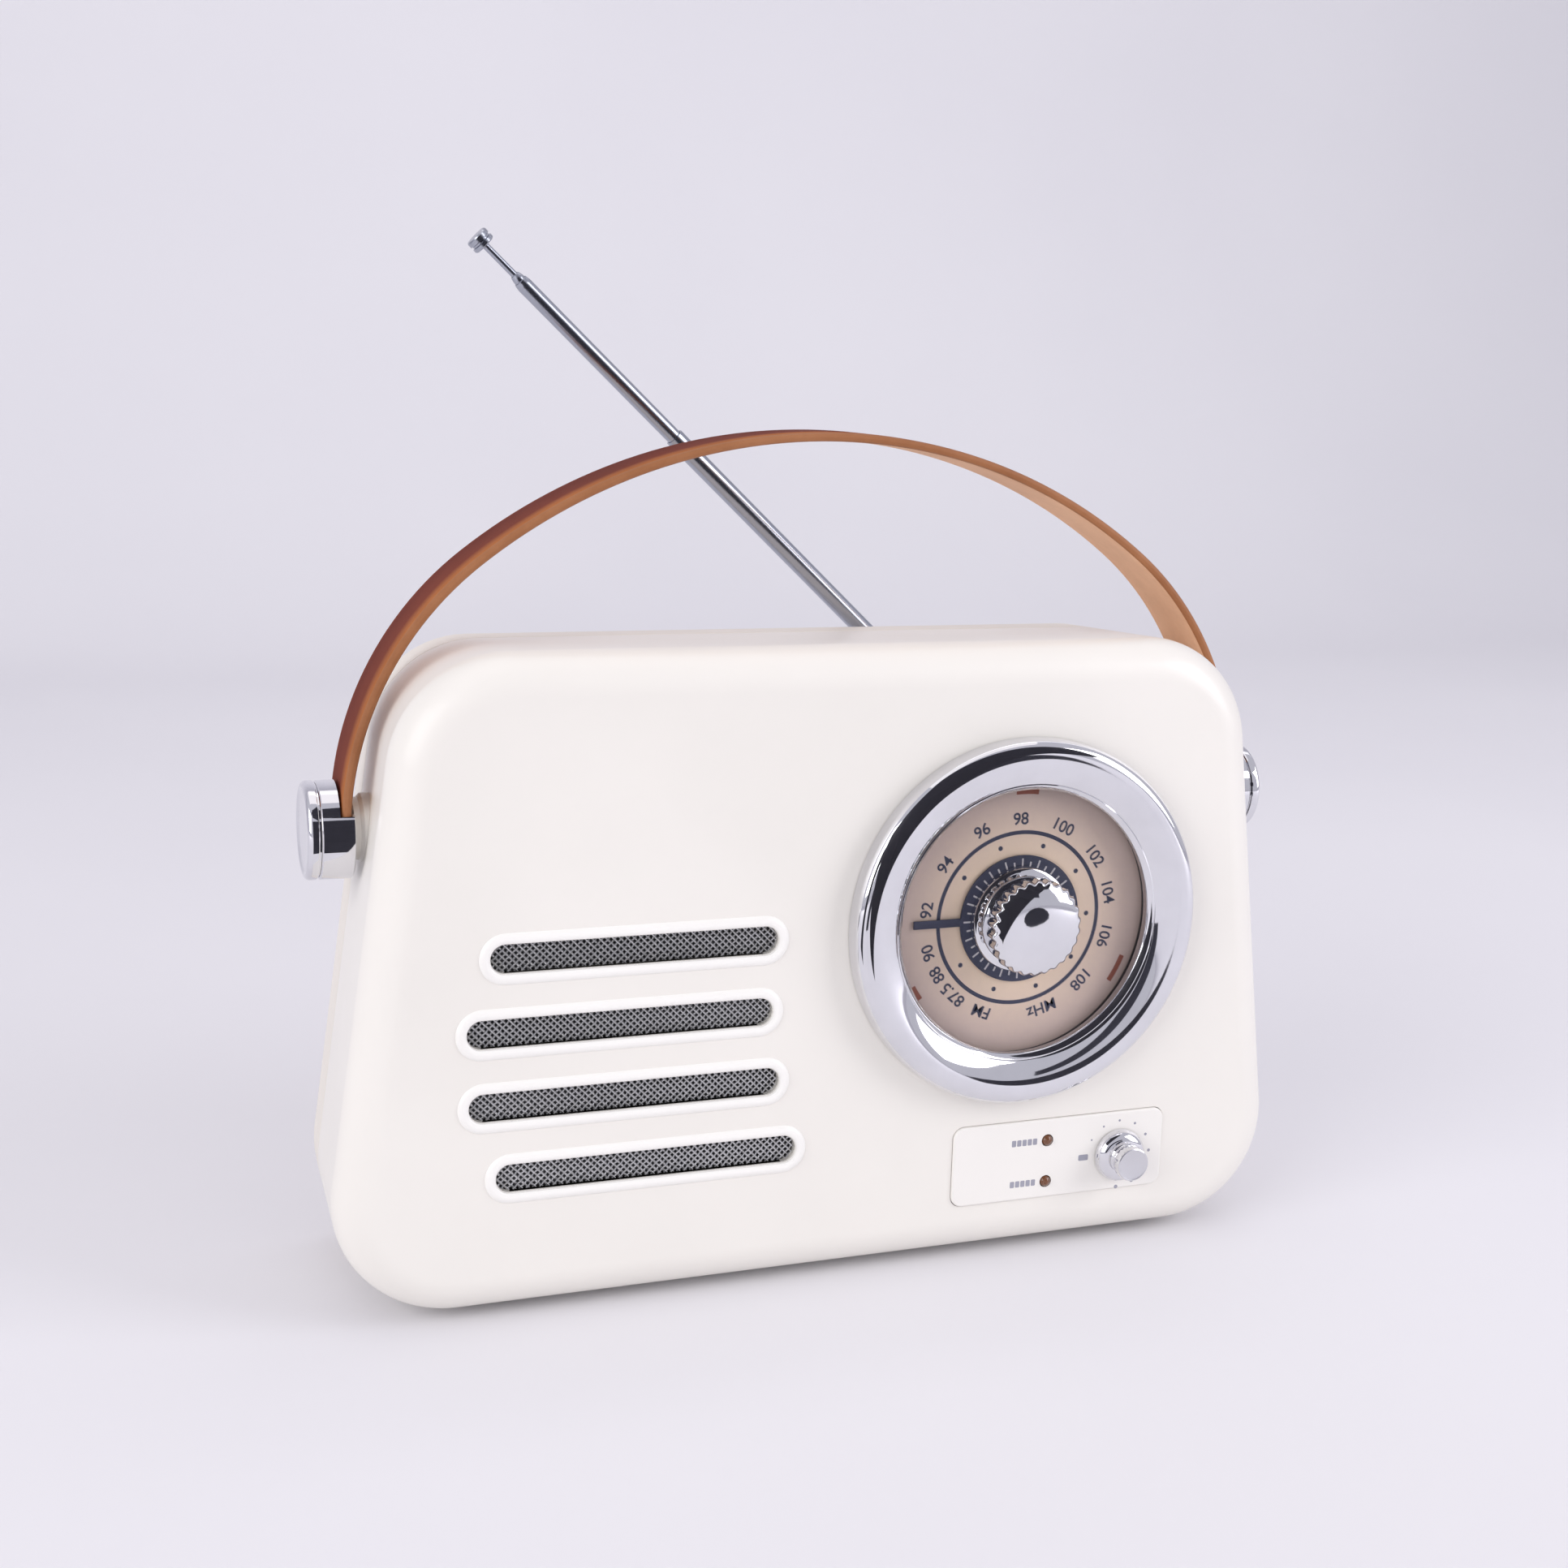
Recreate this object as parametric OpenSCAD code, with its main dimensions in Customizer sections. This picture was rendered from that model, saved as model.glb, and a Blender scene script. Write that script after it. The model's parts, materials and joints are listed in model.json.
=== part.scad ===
// Portable FM radio with a rounded plastic cabinet, a round tuning dial,
// four grille slots, a leather carry strap and a telescopic antenna.
// X runs across the front, +Y to the rear, +Z up. Z = 0 is the plane under the feet,
// X = 0 the cabinet's middle and Y = 0 the middle of the overall depth.

/* [Cabinet] */
// Widest width of the cabinet
cabinet_w = 250; // [240:1:265]
// Height of the cabinet without its feet
cabinet_h = 158.6; // [156:0.2:164]
// Depth of the cabinet from the front face to the rear face
cabinet_d = 66; // [64:1:72]
// Radius of the four corners, seen from the front
corner_r = 29; // [26:0.5:31]
// How far each side leans in from the lower to the upper corner
side_lean = 13.5; // [11:0.5:15]
// How much smaller the rear outline is, on each side
rear_draft = 3; // [1:0.5:4]
// Radius of the soft edge round the front
front_edge_r = 10; // [7:0.5:12]
// Radius of the edge round the rear
rear_edge_r = 7; // [4:0.5:8]
// Wall thickness of both shells
wall = 2.6; // [2.2:0.1:3]
// Distance from the front face to the joint between the shells
seam_y = 46; // [46:1:47]
// Height of the rubber feet
foot_h = 2.5; // [1.5:0.5:4]

/* [Grille] */
// Height of each grille slot
slot_h = 7; // [5:0.5:8]
// Distance from one slot to the next
slot_pitch = 17.9; // [17:0.1:18.5]
// Height of the lowest slot above the cabinet's bottom
slot_low_z = 34.6; // [33:0.2:36]
// Width of the raised rim round each slot
rim_w = 2.6; // [2:0.2:3]
// Height of the raised rim
rim_h = 0.8; // [0.4:0.1:1]

/* [Dial] */
// Sideways position of the dial
dial_x = 46.1; // [45:0.1:47]
// Height of the dial above the cabinet's bottom
dial_z = 89; // [88:0.5:90]
// Outer radius of the chrome bezel
bezel_r = 47; // [46:0.5:48]
// Radius of the dial window
window_r = 34.6; // [34:0.2:35.4]
// Radius of the tuning knob
knob_r = 12.4; // [11.6:0.2:12.8]
// How far the tuning knob stands out of the front face
knob_out = 11.2; // [10.6:0.2:12.4]

/* [Controls] */
// Width of the control panel
panel_w = 60.5; // [59:0.5:62]
// Height of the control panel
panel_h = 21.3; // [20:0.1:22]
// Sideways position of the volume knob
volume_x = 77.5; // [76:0.5:79]
// Height of the volume knob above the cabinet's bottom
volume_z = 23.5; // [23:0.5:24.5]
// Radius of the volume knob's skirt
volume_r = 7; // [6:0.1:7.5]
// Sideways position of the two lamps
led_x = 56.6; // [55:0.2:58]

/* [Strap] */
// Width of the leather strap
strap_w = 20.6; // [19:0.2:21]
// Thickness of the leather strap
strap_t = 2.3; // [2:0.1:2.4]
// Height of the strap's outer face above its pivots
strap_rise = 94.8; // [92:0.2:98]
// Height of the strap's pivots above the cabinet's bottom
pivot_z = 113.6; // [113:0.1:114.4]
// Distance from the front face to the strap's pivots
pivot_y = 32.3; // [32:0.1:33]
// Radius of the chrome strap barrels
barrel_r = 11.8; // [11.4:0.1:12]

/* [Antenna] */
// Sideways position of the antenna's swivel
antenna_x = 46; // [44:0.5:48]
// Height of the antenna's swivel above the cabinet's bottom
antenna_z = 138; // [136:0.5:139]
// Lean of the antenna from upright, to the left
antenna_lean = 47.1; // [30:0.1:60]
// Distance from the tilt pin to the end of the first tube
tube_1_end = 98.3; // [95:0.1:105]
// How far the second tube is drawn out
tube_2_out = 55.7; // [20:0.1:60]
// How far the rod is drawn out
rod_out = 10; // [6:0.5:20]

/* [Hidden] */
$fn = 64;

// Overall depth: from the tuning knob's crown to the ears of the antenna swivel.
ear_out = 6.8;
front_y = (knob_out - cabinet_d - ear_out) / 2;

// Corner centres of the front outline.
low_corner_x = cabinet_w / 2 - corner_r;
top_corner_x = low_corner_x - side_lean;
top_corner_z = cabinet_h - corner_r;

// Running clearance on a radius, and the play between parts that only pass each other.
running = 0.05;
play = 0.3;

// Colours.
cream = [0.95, 0.93, 0.88];
chrome = [0.78, 0.78, 0.8];
steel = [0.6, 0.6, 0.62];
black = [0.12, 0.12, 0.13];
leather = [0.6, 0.36, 0.22];
board_green = [0.2, 0.42, 0.25];

// Places the cabinet's own coordinates (Y from its front face, Z from its bottom) in the frame.
module in_cabinet() {
    translate([0, front_y, foot_h]) children();
}

// A straight cylinder along +Y that starts at the given point.
module rod_y(x, y, z, r, h) {
    translate([x, y, z]) rotate([-90, 0, 0]) cylinder(h = h, r = r);
}

// A solid of revolution about +Y. The profile's points are [radius, y].
module turned_y(x, z, profile) {
    translate([x, 0, z]) rotate([-90, 0, 0]) rotate_extrude() polygon(profile);
}

// A plate standing in the XZ plane, drawn in 2D as [x, z], from y0 to y1.
module plate_y(y0, y1) {
    translate([0, y1, 0]) rotate([90, 0, 0]) linear_extrude(height = y1 - y0) children();
}

// A bar with round ends, drawn between two points of one height.
module round_bar(x0, x1, z, h) {
    for (x = [x0 + h / 2, x1 - h / 2]) translate([x, z]) circle(d = h);
    translate([x0 + h / 2, z - h / 2]) square([x1 - x0 - h, h]);
}

// A rectangle with round corners, from its lower left corner.
module round_rect(x, z, w, h, r) {
    translate([x + r, z]) square([w - 2 * r, h]);
    translate([x, z + r]) square([w, h - 2 * r]);
    for (cx = [x + r, x + w - r], cz = [z + r, z + h - r]) translate([cx, cz]) circle(r = r);
}

// Points of a quarter arc from the first angle to the second, as [radius, y].
function arc(cr, cy, r, a0, a1, steps) =
    [for (i = [0:steps]) let(a = a0 + (a1 - a0) * i / steps) [cr + r * cos(a), cy + r * sin(a)]];

// ---------------------------------------------------------------- cabinet shells

// Corner radius of the outline at a depth behind the front face.
function corner_at(y) = corner_r - rear_draft * max(0, y - front_edge_r) / (cabinet_d - front_edge_r);

// Centres of the four corners at a depth. The bottom stays level, so the lower centres sink.
function corner_centres(y) = [
    for (side = [-1, 1]) [side * low_corner_x, corner_at(y)],
    for (side = [-1, 1]) [side * top_corner_x, top_corner_z]
];

// A disc with one soft edge for each corner: toward the front, or toward the rear.
module front_corners(inset) {
    edge = front_edge_r - inset;
    r = corner_r - inset;
    for (c = corner_centres(front_edge_r))
        turned_y(c[0], c[1], concat(
            [[0, inset]], arc(r - edge, inset + edge, edge, -90, 0, 8), [[0, inset + edge]]));
}

module rear_corners(inset) {
    edge = rear_edge_r - inset;
    r = corner_at(cabinet_d - rear_edge_r) - inset;
    back = cabinet_d - inset;
    for (c = corner_centres(cabinet_d - rear_edge_r))
        turned_y(c[0], c[1], concat(
            [[0, back - edge]], arc(r - edge, back - edge, edge, 0, 90, 6), [[0, back]]));
}

// A thin slice of the outline, used where a shell ends.
module slice(y, inset) {
    slice_t = 0.5;
    for (c = corner_centres(y)) rod_y(c[0], y, c[1], corner_at(y) - inset, slice_t);
}

slot_rows = [
    [-87.9, -12.9], [-94.3, -17.7], [-94.7, -19.8], [-89.2, -18.8]
];
function slot_z(row) = slot_low_z + row * slot_pitch;

case_screw_places = [[-111, 40], [111, 40], [-90, 138], [90, 138]];
case_screw_r = 1.5;
board_places = [[12, 50], [98, 50], [12, 128], [98, 128]];
board_y = 17;
board_t = 1.6;

speaker_x = -54;
speaker_z = slot_low_z + 1.5 * slot_pitch;
// The speaker's ears sit midway between two slots, so no screw shows.
speaker_ear_x = 37.7;
speaker_screw_places = [
    for (sx = [-1, 1], sz = [-1, 1]) [speaker_x + sx * speaker_ear_x, speaker_z + sz * slot_pitch]
];

// The dial stack, front to rear.
bezel_spigot_r = 38.5;
lens_y = -0.2;
lens_t = 1;
dial_y = 1.8;
dial_t = 1;
stack_r = 36.4;
retainer_y = 4.2;
retainer_t = 1.6;
retainer_r = 44.5;
retainer_screw_r = 41.6;
retainer_angles = [30, 150, 270];

panel_x = 30;
panel_z = 13.8;
panel_corner_r = 3;
panel_y0 = -0.7;
panel_y1 = 0.9;
led_z = [18.2, 29.4];
led_r = 1.5;
volume_bush_r = 3.4;

// Strap posts: shoulder screws that stand out of the cabinet's sides.
post_r = 3;
seat_r = 7.5;
seat_in_x = 104;
seat_out_x = 115.9;

foot_r = 6;
foot_x = 84;
foot_y = [20, 52.5];

// Small self-tapping screw bosses share one hole and one screw radius.
small_screw_r = 1.2;
boss_r = 3;

module front_cabinet() {
    inner = wall - 0.01;
    color(cream) in_cabinet() difference() {
        union() {
            difference() {
                hull() {
                    front_corners(0);
                    slice(seam_y - 0.5, 0);
                }
                hull() {
                    front_corners(wall);
                    slice(seam_y, wall);
                }
            }
            for (row = [0:3])
                plate_y(-rim_h, wall / 2)
                    round_bar(slot_rows[row][0] - rim_w, slot_rows[row][1] + rim_w, slot_z(row),
                        slot_h + 2 * rim_w);
            for (p = case_screw_places) rod_y(p[0], inner, p[1], 4, seam_y - inner - play);
            for (p = board_places) rod_y(p[0], inner, p[1], boss_r, board_y - inner);
            for (p = speaker_screw_places) rod_y(p[0], inner, p[1], boss_r, 4.2 - inner);
            for (a = retainer_angles)
                rod_y(dial_x + retainer_screw_r * cos(a), inner, dial_z + retainer_screw_r * sin(a),
                    boss_r, retainer_y - inner);
            for (side = [0, 1]) mirror([side, 0, 0])
                translate([seat_in_x, pivot_y, pivot_z]) rotate([0, 90, 0])
                    cylinder(h = seat_out_x - seat_in_x, r = seat_r);
        }
        for (row = [0:3])
            plate_y(-2, wall + 1)
                round_bar(slot_rows[row][0], slot_rows[row][1], slot_z(row), slot_h);
        rod_y(dial_x, -1, dial_z, bezel_spigot_r + 0.1, wall + 2);
        plate_y(-1, panel_y1) round_rect(panel_x - 0.1, panel_z - 0.1, panel_w + 0.2, panel_h + 0.2,
            panel_corner_r);
        rod_y(volume_x, 0, volume_z, volume_bush_r + 0.2, wall + 1);
        for (z = led_z) rod_y(led_x, 0, z, led_r + 0.1, wall + 1);
        for (p = case_screw_places) rod_y(p[0], seam_y - 14, p[1], case_screw_r + running, 15);
        for (p = board_places) rod_y(p[0], board_y - 8, p[1], small_screw_r + running, 9);
        for (p = speaker_screw_places) rod_y(p[0], 1.5, p[1], small_screw_r + running, 4);
        for (a = retainer_angles)
            rod_y(dial_x + retainer_screw_r * cos(a), 1.5, dial_z + retainer_screw_r * sin(a),
                small_screw_r + running, 4);
        for (side = [0, 1]) mirror([side, 0, 0])
            translate([seat_in_x - 1, pivot_y, pivot_z]) rotate([0, 90, 0])
                cylinder(h = seat_out_x - seat_in_x + 2, r = post_r + running);
    }
}

tray_x0 = -8;
tray_x1 = 100;
tray_z0 = 9;
tray_z1 = 67;
tray_y0 = 34;
tray_wall = 1.6;
door_t = 2.2;
door_gap = 0.4;
door_x0 = tray_x0 + 2;
door_x1 = tray_x1 - 2;
door_z0 = tray_z0 + 3;
door_z1 = tray_z1 - 2;
hinge_r = 1.8;
hinge_y = cabinet_d - hinge_r;
hinge_z = door_z0 + hinge_r;
pin_r = 0.8;
knuckle_x = [[2, 14], [78, 90]];
ear_w = 2;
ear_r = 1.7;
swivel_r = 6;
stem_r = 2.5;
power_place = [-30, 16];
earphone_place = [-50, 16];
socket_hole_r = 3.4;
vent_x0 = -92;
vent_x1 = -34;

module rear_cover() {
    lip_t = 1.2;
    lip_len = 3;
    color(cream) in_cabinet() difference() {
        union() {
            difference() {
                union() {
                    hull() {
                        slice(seam_y, 0);
                        rear_corners(0);
                    }
                    hull() {
                        slice(seam_y - lip_len, wall + 0.1);
                        slice(seam_y, wall + 0.1);
                    }
                }
                hull() {
                    slice(seam_y - lip_len - 1, wall + lip_t);
                    rear_corners(wall + 0.1);
                }
            }
            for (p = case_screw_places) rod_y(p[0], seam_y, p[1], 4.5, cabinet_d - wall - seam_y + 0.5);
            rod_y(antenna_x, cabinet_d - wall - 3, antenna_z, 8, 3.5);
            antenna_cradle();
        }
        door_opening();
        for (p = case_screw_places) {
            rod_y(p[0], seam_y - 1, p[1], case_screw_r + running, cabinet_d);
            rod_y(p[0], cabinet_d - 10, p[1], 3.2, 11);
        }
        rod_y(antenna_x, cabinet_d - 10, antenna_z, stem_r + running, 12);
        rod_y(antenna_x, cabinet_d - 1.5, antenna_z, swivel_r + play, 3);
        for (p = [power_place, earphone_place])
            rod_y(p[0], cabinet_d - 5, p[1], socket_hole_r + 0.1, 6);
        for (row = [0:6])
            plate_y(cabinet_d - 5, cabinet_d + 1)
                round_bar(vent_x0, vent_x1, speaker_z - 18 + 6 * row, 2.4);
    }
}

// The opening behind the door, with the four ears that carry the hinge pins left standing.
module door_opening() {
    difference() {
        translate([door_x0 - door_gap, cabinet_d - 6, door_z0 - door_gap])
            cube([door_x1 - door_x0 + 2 * door_gap, 8, door_z1 - door_z0 + 2 * door_gap]);
        for (x = ear_places()) difference() {
            union() {
                translate([x, hinge_y, hinge_z]) rotate([0, 90, 0]) cylinder(h = ear_w, r = ear_r);
                translate([x, cabinet_d - wall, door_z0 - door_gap])
                    cube([ear_w, wall - 0.2, hinge_z - door_z0 + door_gap]);
            }
            translate([x - 1, hinge_y, hinge_z]) rotate([0, 90, 0])
                cylinder(h = ear_w + 2, r = pin_r + 0.02);
        }
    }
}

function ear_places() = [for (k = knuckle_x, x = [k[0] - ear_w - play, k[1] + play]) x];

// An open hook that holds the folded antenna by its first tube.
module antenna_cradle() {
    cradle_x = antenna_x - 88;
    tube_y = cabinet_d + antenna_off;
    translate([cradle_x, cabinet_d - 1, antenna_z - tube_1_r - play - 1.6])
        cube([8, antenna_off + tube_1_r + play + 2.2, 1.6]);
    translate([cradle_x, tube_y + tube_1_r + play, antenna_z - tube_1_r - play - 1.6])
        cube([8, 1.2, 4.5]);
}

module case_screws() {
    color(steel) in_cabinet() for (p = case_screw_places) {
        rod_y(p[0], seam_y - 12, p[1], case_screw_r, cabinet_d - 10 - seam_y + 12 + 0.1);
        difference() {
            rod_y(p[0], cabinet_d - 10, p[1], 2.9, 2);
            for (turn = [0, 90])
                translate([p[0], cabinet_d - 8.5, p[1]]) rotate([0, turn, 0])
                    cube([3.6, 1.4, 0.7], center = true);
        }
    }
}

module feet() {
    chamfer = 0.6;
    color(black) for (x = [-foot_x, foot_x], y = foot_y)
        translate([x, front_y + y, 0]) rotate_extrude()
            polygon([[0, 0], [foot_r - chamfer, 0], [foot_r, chamfer], [foot_r, foot_h], [0, foot_h]]);
}

// ---------------------------------------------------------------- loudspeaker

mesh_x0 = -104;
mesh_x1 = -8;
mesh_z0 = 20;
mesh_z1 = 103;
mesh_t = 0.8;
flange_y = 4.2;
flange_t = 1.2;
flange_r = 38.4;

module grille_mesh() {
    color([0.35, 0.35, 0.37]) in_cabinet() difference() {
        plate_y(wall, wall + mesh_t)
            round_rect(mesh_x0, mesh_z0, mesh_x1 - mesh_x0, mesh_z1 - mesh_z0, 4);
        for (p = speaker_screw_places) rod_y(p[0], wall - 1, p[1], boss_r + 0.2, 3);
    }
}

module speaker_gasket() {
    color(black) in_cabinet() turned_y(speaker_x, speaker_z, [
        [35.5, wall + mesh_t], [flange_r, wall + mesh_t], [flange_r, flange_y], [35.5, flange_y]
    ]);
}

module speaker_basket() {
    rear = 20.2;
    color(steel) in_cabinet() difference() {
        union() {
            turned_y(speaker_x, speaker_z, [
                [33.5, flange_y], [flange_r, flange_y], [flange_r, flange_y + flange_t],
                [36.4, flange_y + flange_t], [22, rear - 1.2], [22, rear], [10.2, rear],
                [10.2, rear - 1.2], [20.6, rear - 1.2], [33.5, flange_y + flange_t + 1]
            ]);
            for (p = speaker_screw_places) rod_y(p[0], flange_y, p[1], 4.5, flange_t);
        }
        for (p = speaker_screw_places)
            rod_y(p[0], flange_y - 1, p[1], small_screw_r + running, flange_t + 2);
        for (a = [0:90:270])
            rod_y(speaker_x + 28 * cos(a), 8.5, speaker_z + 28 * sin(a), 6, rear - 10.2);
    }
}

module speaker_surround() {
    color(black) in_cabinet() turned_y(speaker_x, speaker_z, [
        [30.2, 3.7], [35.3, 3.7], [35.3, flange_y], [30.2, flange_y]
    ]);
}

module speaker_cone() {
    color([0.2, 0.2, 0.2]) in_cabinet() turned_y(speaker_x, speaker_z, [
        [29.9, 4.5], [29.9, 5.3], [9.4, 15.8], [9.4, 15]
    ]);
}

module dust_cap() {
    cap_r = 9.3;
    color([0.15, 0.15, 0.15]) in_cabinet() turned_y(speaker_x, speaker_z, concat(
        [[0, 12]], [for (a = [15:15:90]) [cap_r * sin(a), 12 + 2.6 * (1 - cos(a))]],
        [[cap_r, 15.2], [0, 15.2]]));
}

module voice_coil() {
    color([0.75, 0.45, 0.25]) in_cabinet() turned_y(speaker_x, speaker_z, [
        [8.8, 15.3], [9.3, 15.3], [9.3, 24], [8.8, 24]
    ]);
}

module speaker_magnet() {
    color([0.25, 0.25, 0.27]) in_cabinet() turned_y(speaker_x, speaker_z, [
        [11, 20.2], [22, 20.2], [22, 29.2], [11, 29.2]
    ]);
}

module speaker_yoke() {
    color(steel) in_cabinet() turned_y(speaker_x, speaker_z, [
        [0, 20.2], [8.3, 20.2], [8.3, 29.2], [20, 29.2], [20, 32.2], [0, 32.2]
    ]);
}

module speaker_screws() {
    color(steel) in_cabinet() for (p = speaker_screw_places) {
        rod_y(p[0], 1.8, p[1], small_screw_r, flange_y + flange_t - 1.8 + 0.1);
        rod_y(p[0], flange_y + flange_t, p[1], 2.4, 1.4);
    }
}

// ---------------------------------------------------------------- dial

module dial_bezel() {
    crown = -6.8;
    crest_r = bezel_r - 3.4;
    lip_r = window_r - 0.6;
    bowl = 26; // twice the radius to which the inner face is dished
    color(chrome) in_cabinet() turned_y(dial_x, dial_z, concat(
        [[bezel_r, 0]],
        [for (a = [0:15:90]) [crest_r + 3.4 * cos(a), crown + 2.8 - 2.8 * sin(a)]],
        [for (i = [1:8]) let (in = (crest_r - lip_r - 0.4) * i / 8) [crest_r - in, crown + in * in / bowl]],
        [
            [lip_r, crown + pow(crest_r - lip_r, 2) / bowl + 0.3],
            [window_r, lens_y - 1], [window_r, lens_y],
            [stack_r + 0.2, lens_y], [stack_r + 0.2, retainer_y],
            [bezel_spigot_r, retainer_y], [bezel_spigot_r, 0]
        ]));
}

module dial_lens() {
    color([0.85, 0.85, 0.95, 0.3]) in_cabinet() turned_y(dial_x, dial_z, [
        [knob_r + 1.6, lens_y], [stack_r, lens_y], [stack_r, lens_y + lens_t],
        [knob_r + 1.6, lens_y + lens_t]
    ]);
}

module dial_spacer() {
    color(black) in_cabinet() turned_y(dial_x, dial_z, [
        [window_r + 0.6, lens_y + lens_t], [stack_r, lens_y + lens_t],
        [stack_r, dial_y], [window_r + 0.6, dial_y]
    ]);
}

module dial_plate() {
    color([0.8, 0.7, 0.58]) in_cabinet() turned_y(dial_x, dial_z, [
        [5.2, dial_y], [stack_r, dial_y], [stack_r, dial_y + dial_t], [5.2, dial_y + dial_t]
    ]);
}

module dial_retainer() {
    color(black) in_cabinet() difference() {
        turned_y(dial_x, dial_z, [
            [5.2, dial_y + dial_t], [stack_r, dial_y + dial_t], [stack_r, retainer_y],
            [retainer_r, retainer_y], [retainer_r, retainer_y + retainer_t],
            [5.2, retainer_y + retainer_t]
        ]);
        for (a = retainer_angles)
            rod_y(dial_x + retainer_screw_r * cos(a), 1, dial_z + retainer_screw_r * sin(a),
                small_screw_r + running, 8);
    }
}

module retainer_screws() {
    seat = retainer_y + retainer_t;
    color(steel) in_cabinet() for (a = retainer_angles) {
        x = dial_x + retainer_screw_r * cos(a);
        z = dial_z + retainer_screw_r * sin(a);
        rod_y(x, 1.8, z, small_screw_r, seat - 1.8 + 0.1);
        rod_y(x, seat, z, 2.4, 1.4);
    }
}

pointer_y = 0.95;
shaft_r = 3;

module dial_pointer() {
    skirt_r = 16.4;
    tip = 29;
    half_w = 1;
    color(black) in_cabinet() difference() {
        union() {
            rod_y(dial_x, pointer_y, dial_z, skirt_r, 0.5);
            plate_y(pointer_y, pointer_y + 0.5) polygon([
                [dial_x - 14, dial_z - half_w], [dial_x - 14, dial_z + half_w],
                [dial_x - tip, dial_z + half_w], [dial_x - tip, dial_z - half_w]
            ]);
        }
        rod_y(dial_x, 0, dial_z, shaft_r + 0.02, 3);
    }
}

module tuning_knob() {
    crown = -knob_out;
    color(chrome) in_cabinet() turned_y(dial_x, dial_z, concat(
        [
            [shaft_r + 0.02, pointer_y], [knob_r + 1, pointer_y], [knob_r + 1, -0.2],
            [knob_r + 0.4, -0.7], [knob_r - 1, -0.9], [knob_r - 1, -4.4], [knob_r, -4.9],
            [knob_r, crown + 3.4]
        ],
        [for (a = [10:10:90]) [knob_r * cos(a), crown + 3.4 - 3.4 * sin(a)]],
        [[0, crown + 6], [shaft_r + 0.02, crown + 6]]));
}

module tuning_shaft() {
    color(steel) in_cabinet() rod_y(dial_x, 6.1 - knob_out, dial_z, shaft_r, knob_out + 9);
}

module tuning_control() {
    bush_y = 6.2;
    body = [17, 7.9, 19];
    color([0.3, 0.32, 0.36]) in_cabinet() difference() {
        union() {
            rod_y(dial_x, bush_y, dial_z, 4.6, 4);
            translate([dial_x - body[0] / 2, board_y - body[1], dial_z - body[2] / 2]) cube(body);
        }
        rod_y(dial_x, bush_y - 1, dial_z, shaft_r + running, board_y - bush_y);
    }
}

// ---------------------------------------------------------------- control panel

control_board_y = 9.5;
volume_shaft_r = 2;
volume_base = panel_y0 - 0.25;

module control_panel() {
    color([0.98, 0.97, 0.94]) in_cabinet() difference() {
        plate_y(panel_y0, panel_y1) round_rect(panel_x, panel_z, panel_w, panel_h, panel_corner_r);
        rod_y(volume_x, -2, volume_z, volume_bush_r + 0.2, 4);
        for (z = led_z) rod_y(led_x, -2, z, led_r + 0.1, 4);
    }
}

module lamp(z) {
    color([0.75, 0.45, 0.2]) in_cabinet() {
        turned_y(led_x, z, concat(
            [for (a = [0:15:90]) [led_r * sin(a), -1.6 + led_r * (1 - cos(a))]],
            [[led_r, 3.2], [led_r + 0.4, 3.2], [led_r + 0.4, 4], [0, 4]]));
        for (dx = [-0.8, 0.8]) rod_y(led_x + dx, 3.9, z, 0.25, control_board_y - 3.9);
    }
}

module power_lamp() {
    lamp(led_z[0]);
}

module tuning_lamp() {
    lamp(led_z[1]);
}

module volume_knob() {
    // The grip is a smaller drum that stands on a domed skirt, with a waist between them.
    grip_r = 4.5;
    waist_r = 3.5;
    color(chrome) in_cabinet() turned_y(volume_x, volume_z, [
        [volume_shaft_r + 0.02, volume_base], [volume_r, volume_base], [volume_r, -1.9],
        [volume_r - 0.5, -3], [volume_r - 1.5, -3.9], [waist_r + 0.4, -4.6], [waist_r, -5.5],
        [grip_r - 0.1, -6.1], [grip_r, -6.5], [grip_r, -8.7], [grip_r - 0.3, -9.1],
        [0, -9.1], [0, -7], [volume_shaft_r + 0.02, -7]
    ]);
}

module volume_shaft() {
    color(steel) in_cabinet() rod_y(volume_x, -6.9, volume_z, volume_shaft_r, 15);
}

module volume_control() {
    color([0.3, 0.32, 0.36]) in_cabinet() difference() {
        union() {
            rod_y(volume_x, 0, volume_z, volume_bush_r, 5);
            rod_y(volume_x, wall + 1, volume_z, 8.2, control_board_y - wall - 1);
        }
        rod_y(volume_x, -1, volume_z, volume_shaft_r + running, control_board_y - 0.2);
    }
}

module control_board() {
    color(board_green) in_cabinet() plate_y(control_board_y, control_board_y + board_t)
        translate([led_x - 6, panel_z - 1]) square([38, panel_h + 2]);
}

// ---------------------------------------------------------------- main board

module main_board() {
    color(board_green) in_cabinet() difference() {
        plate_y(board_y, board_y + board_t) translate([6, 44]) square([98, 89]);
        for (p = board_places) rod_y(p[0], board_y - 1, p[1], small_screw_r + running, 4);
    }
}

module board_screws() {
    color(steel) in_cabinet() for (p = board_places) {
        rod_y(p[0], board_y - 7, p[1], small_screw_r, 7 + board_t + 0.1);
        rod_y(p[0], board_y + board_t, p[1], 2.4, 1.4);
    }
}

module chip(x, z, w, h) {
    leg_pitch = 2.54;
    color([0.15, 0.15, 0.16]) in_cabinet() {
        translate([x, board_y + board_t + 0.6, z]) cube([w, 3, h]);
        for (lx = [x + 1.3 : leg_pitch : x + w - 1], lz = [z - 0.7, z + h - 0.1])
            translate([lx, board_y + board_t, lz]) cube([0.6, 2.4, 0.8]);
    }
}

module tuner_chip() {
    chip(36, 96, 20, 6.6);
}

module amplifier_chip() {
    chip(20, 62, 10, 6.6);
}

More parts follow.
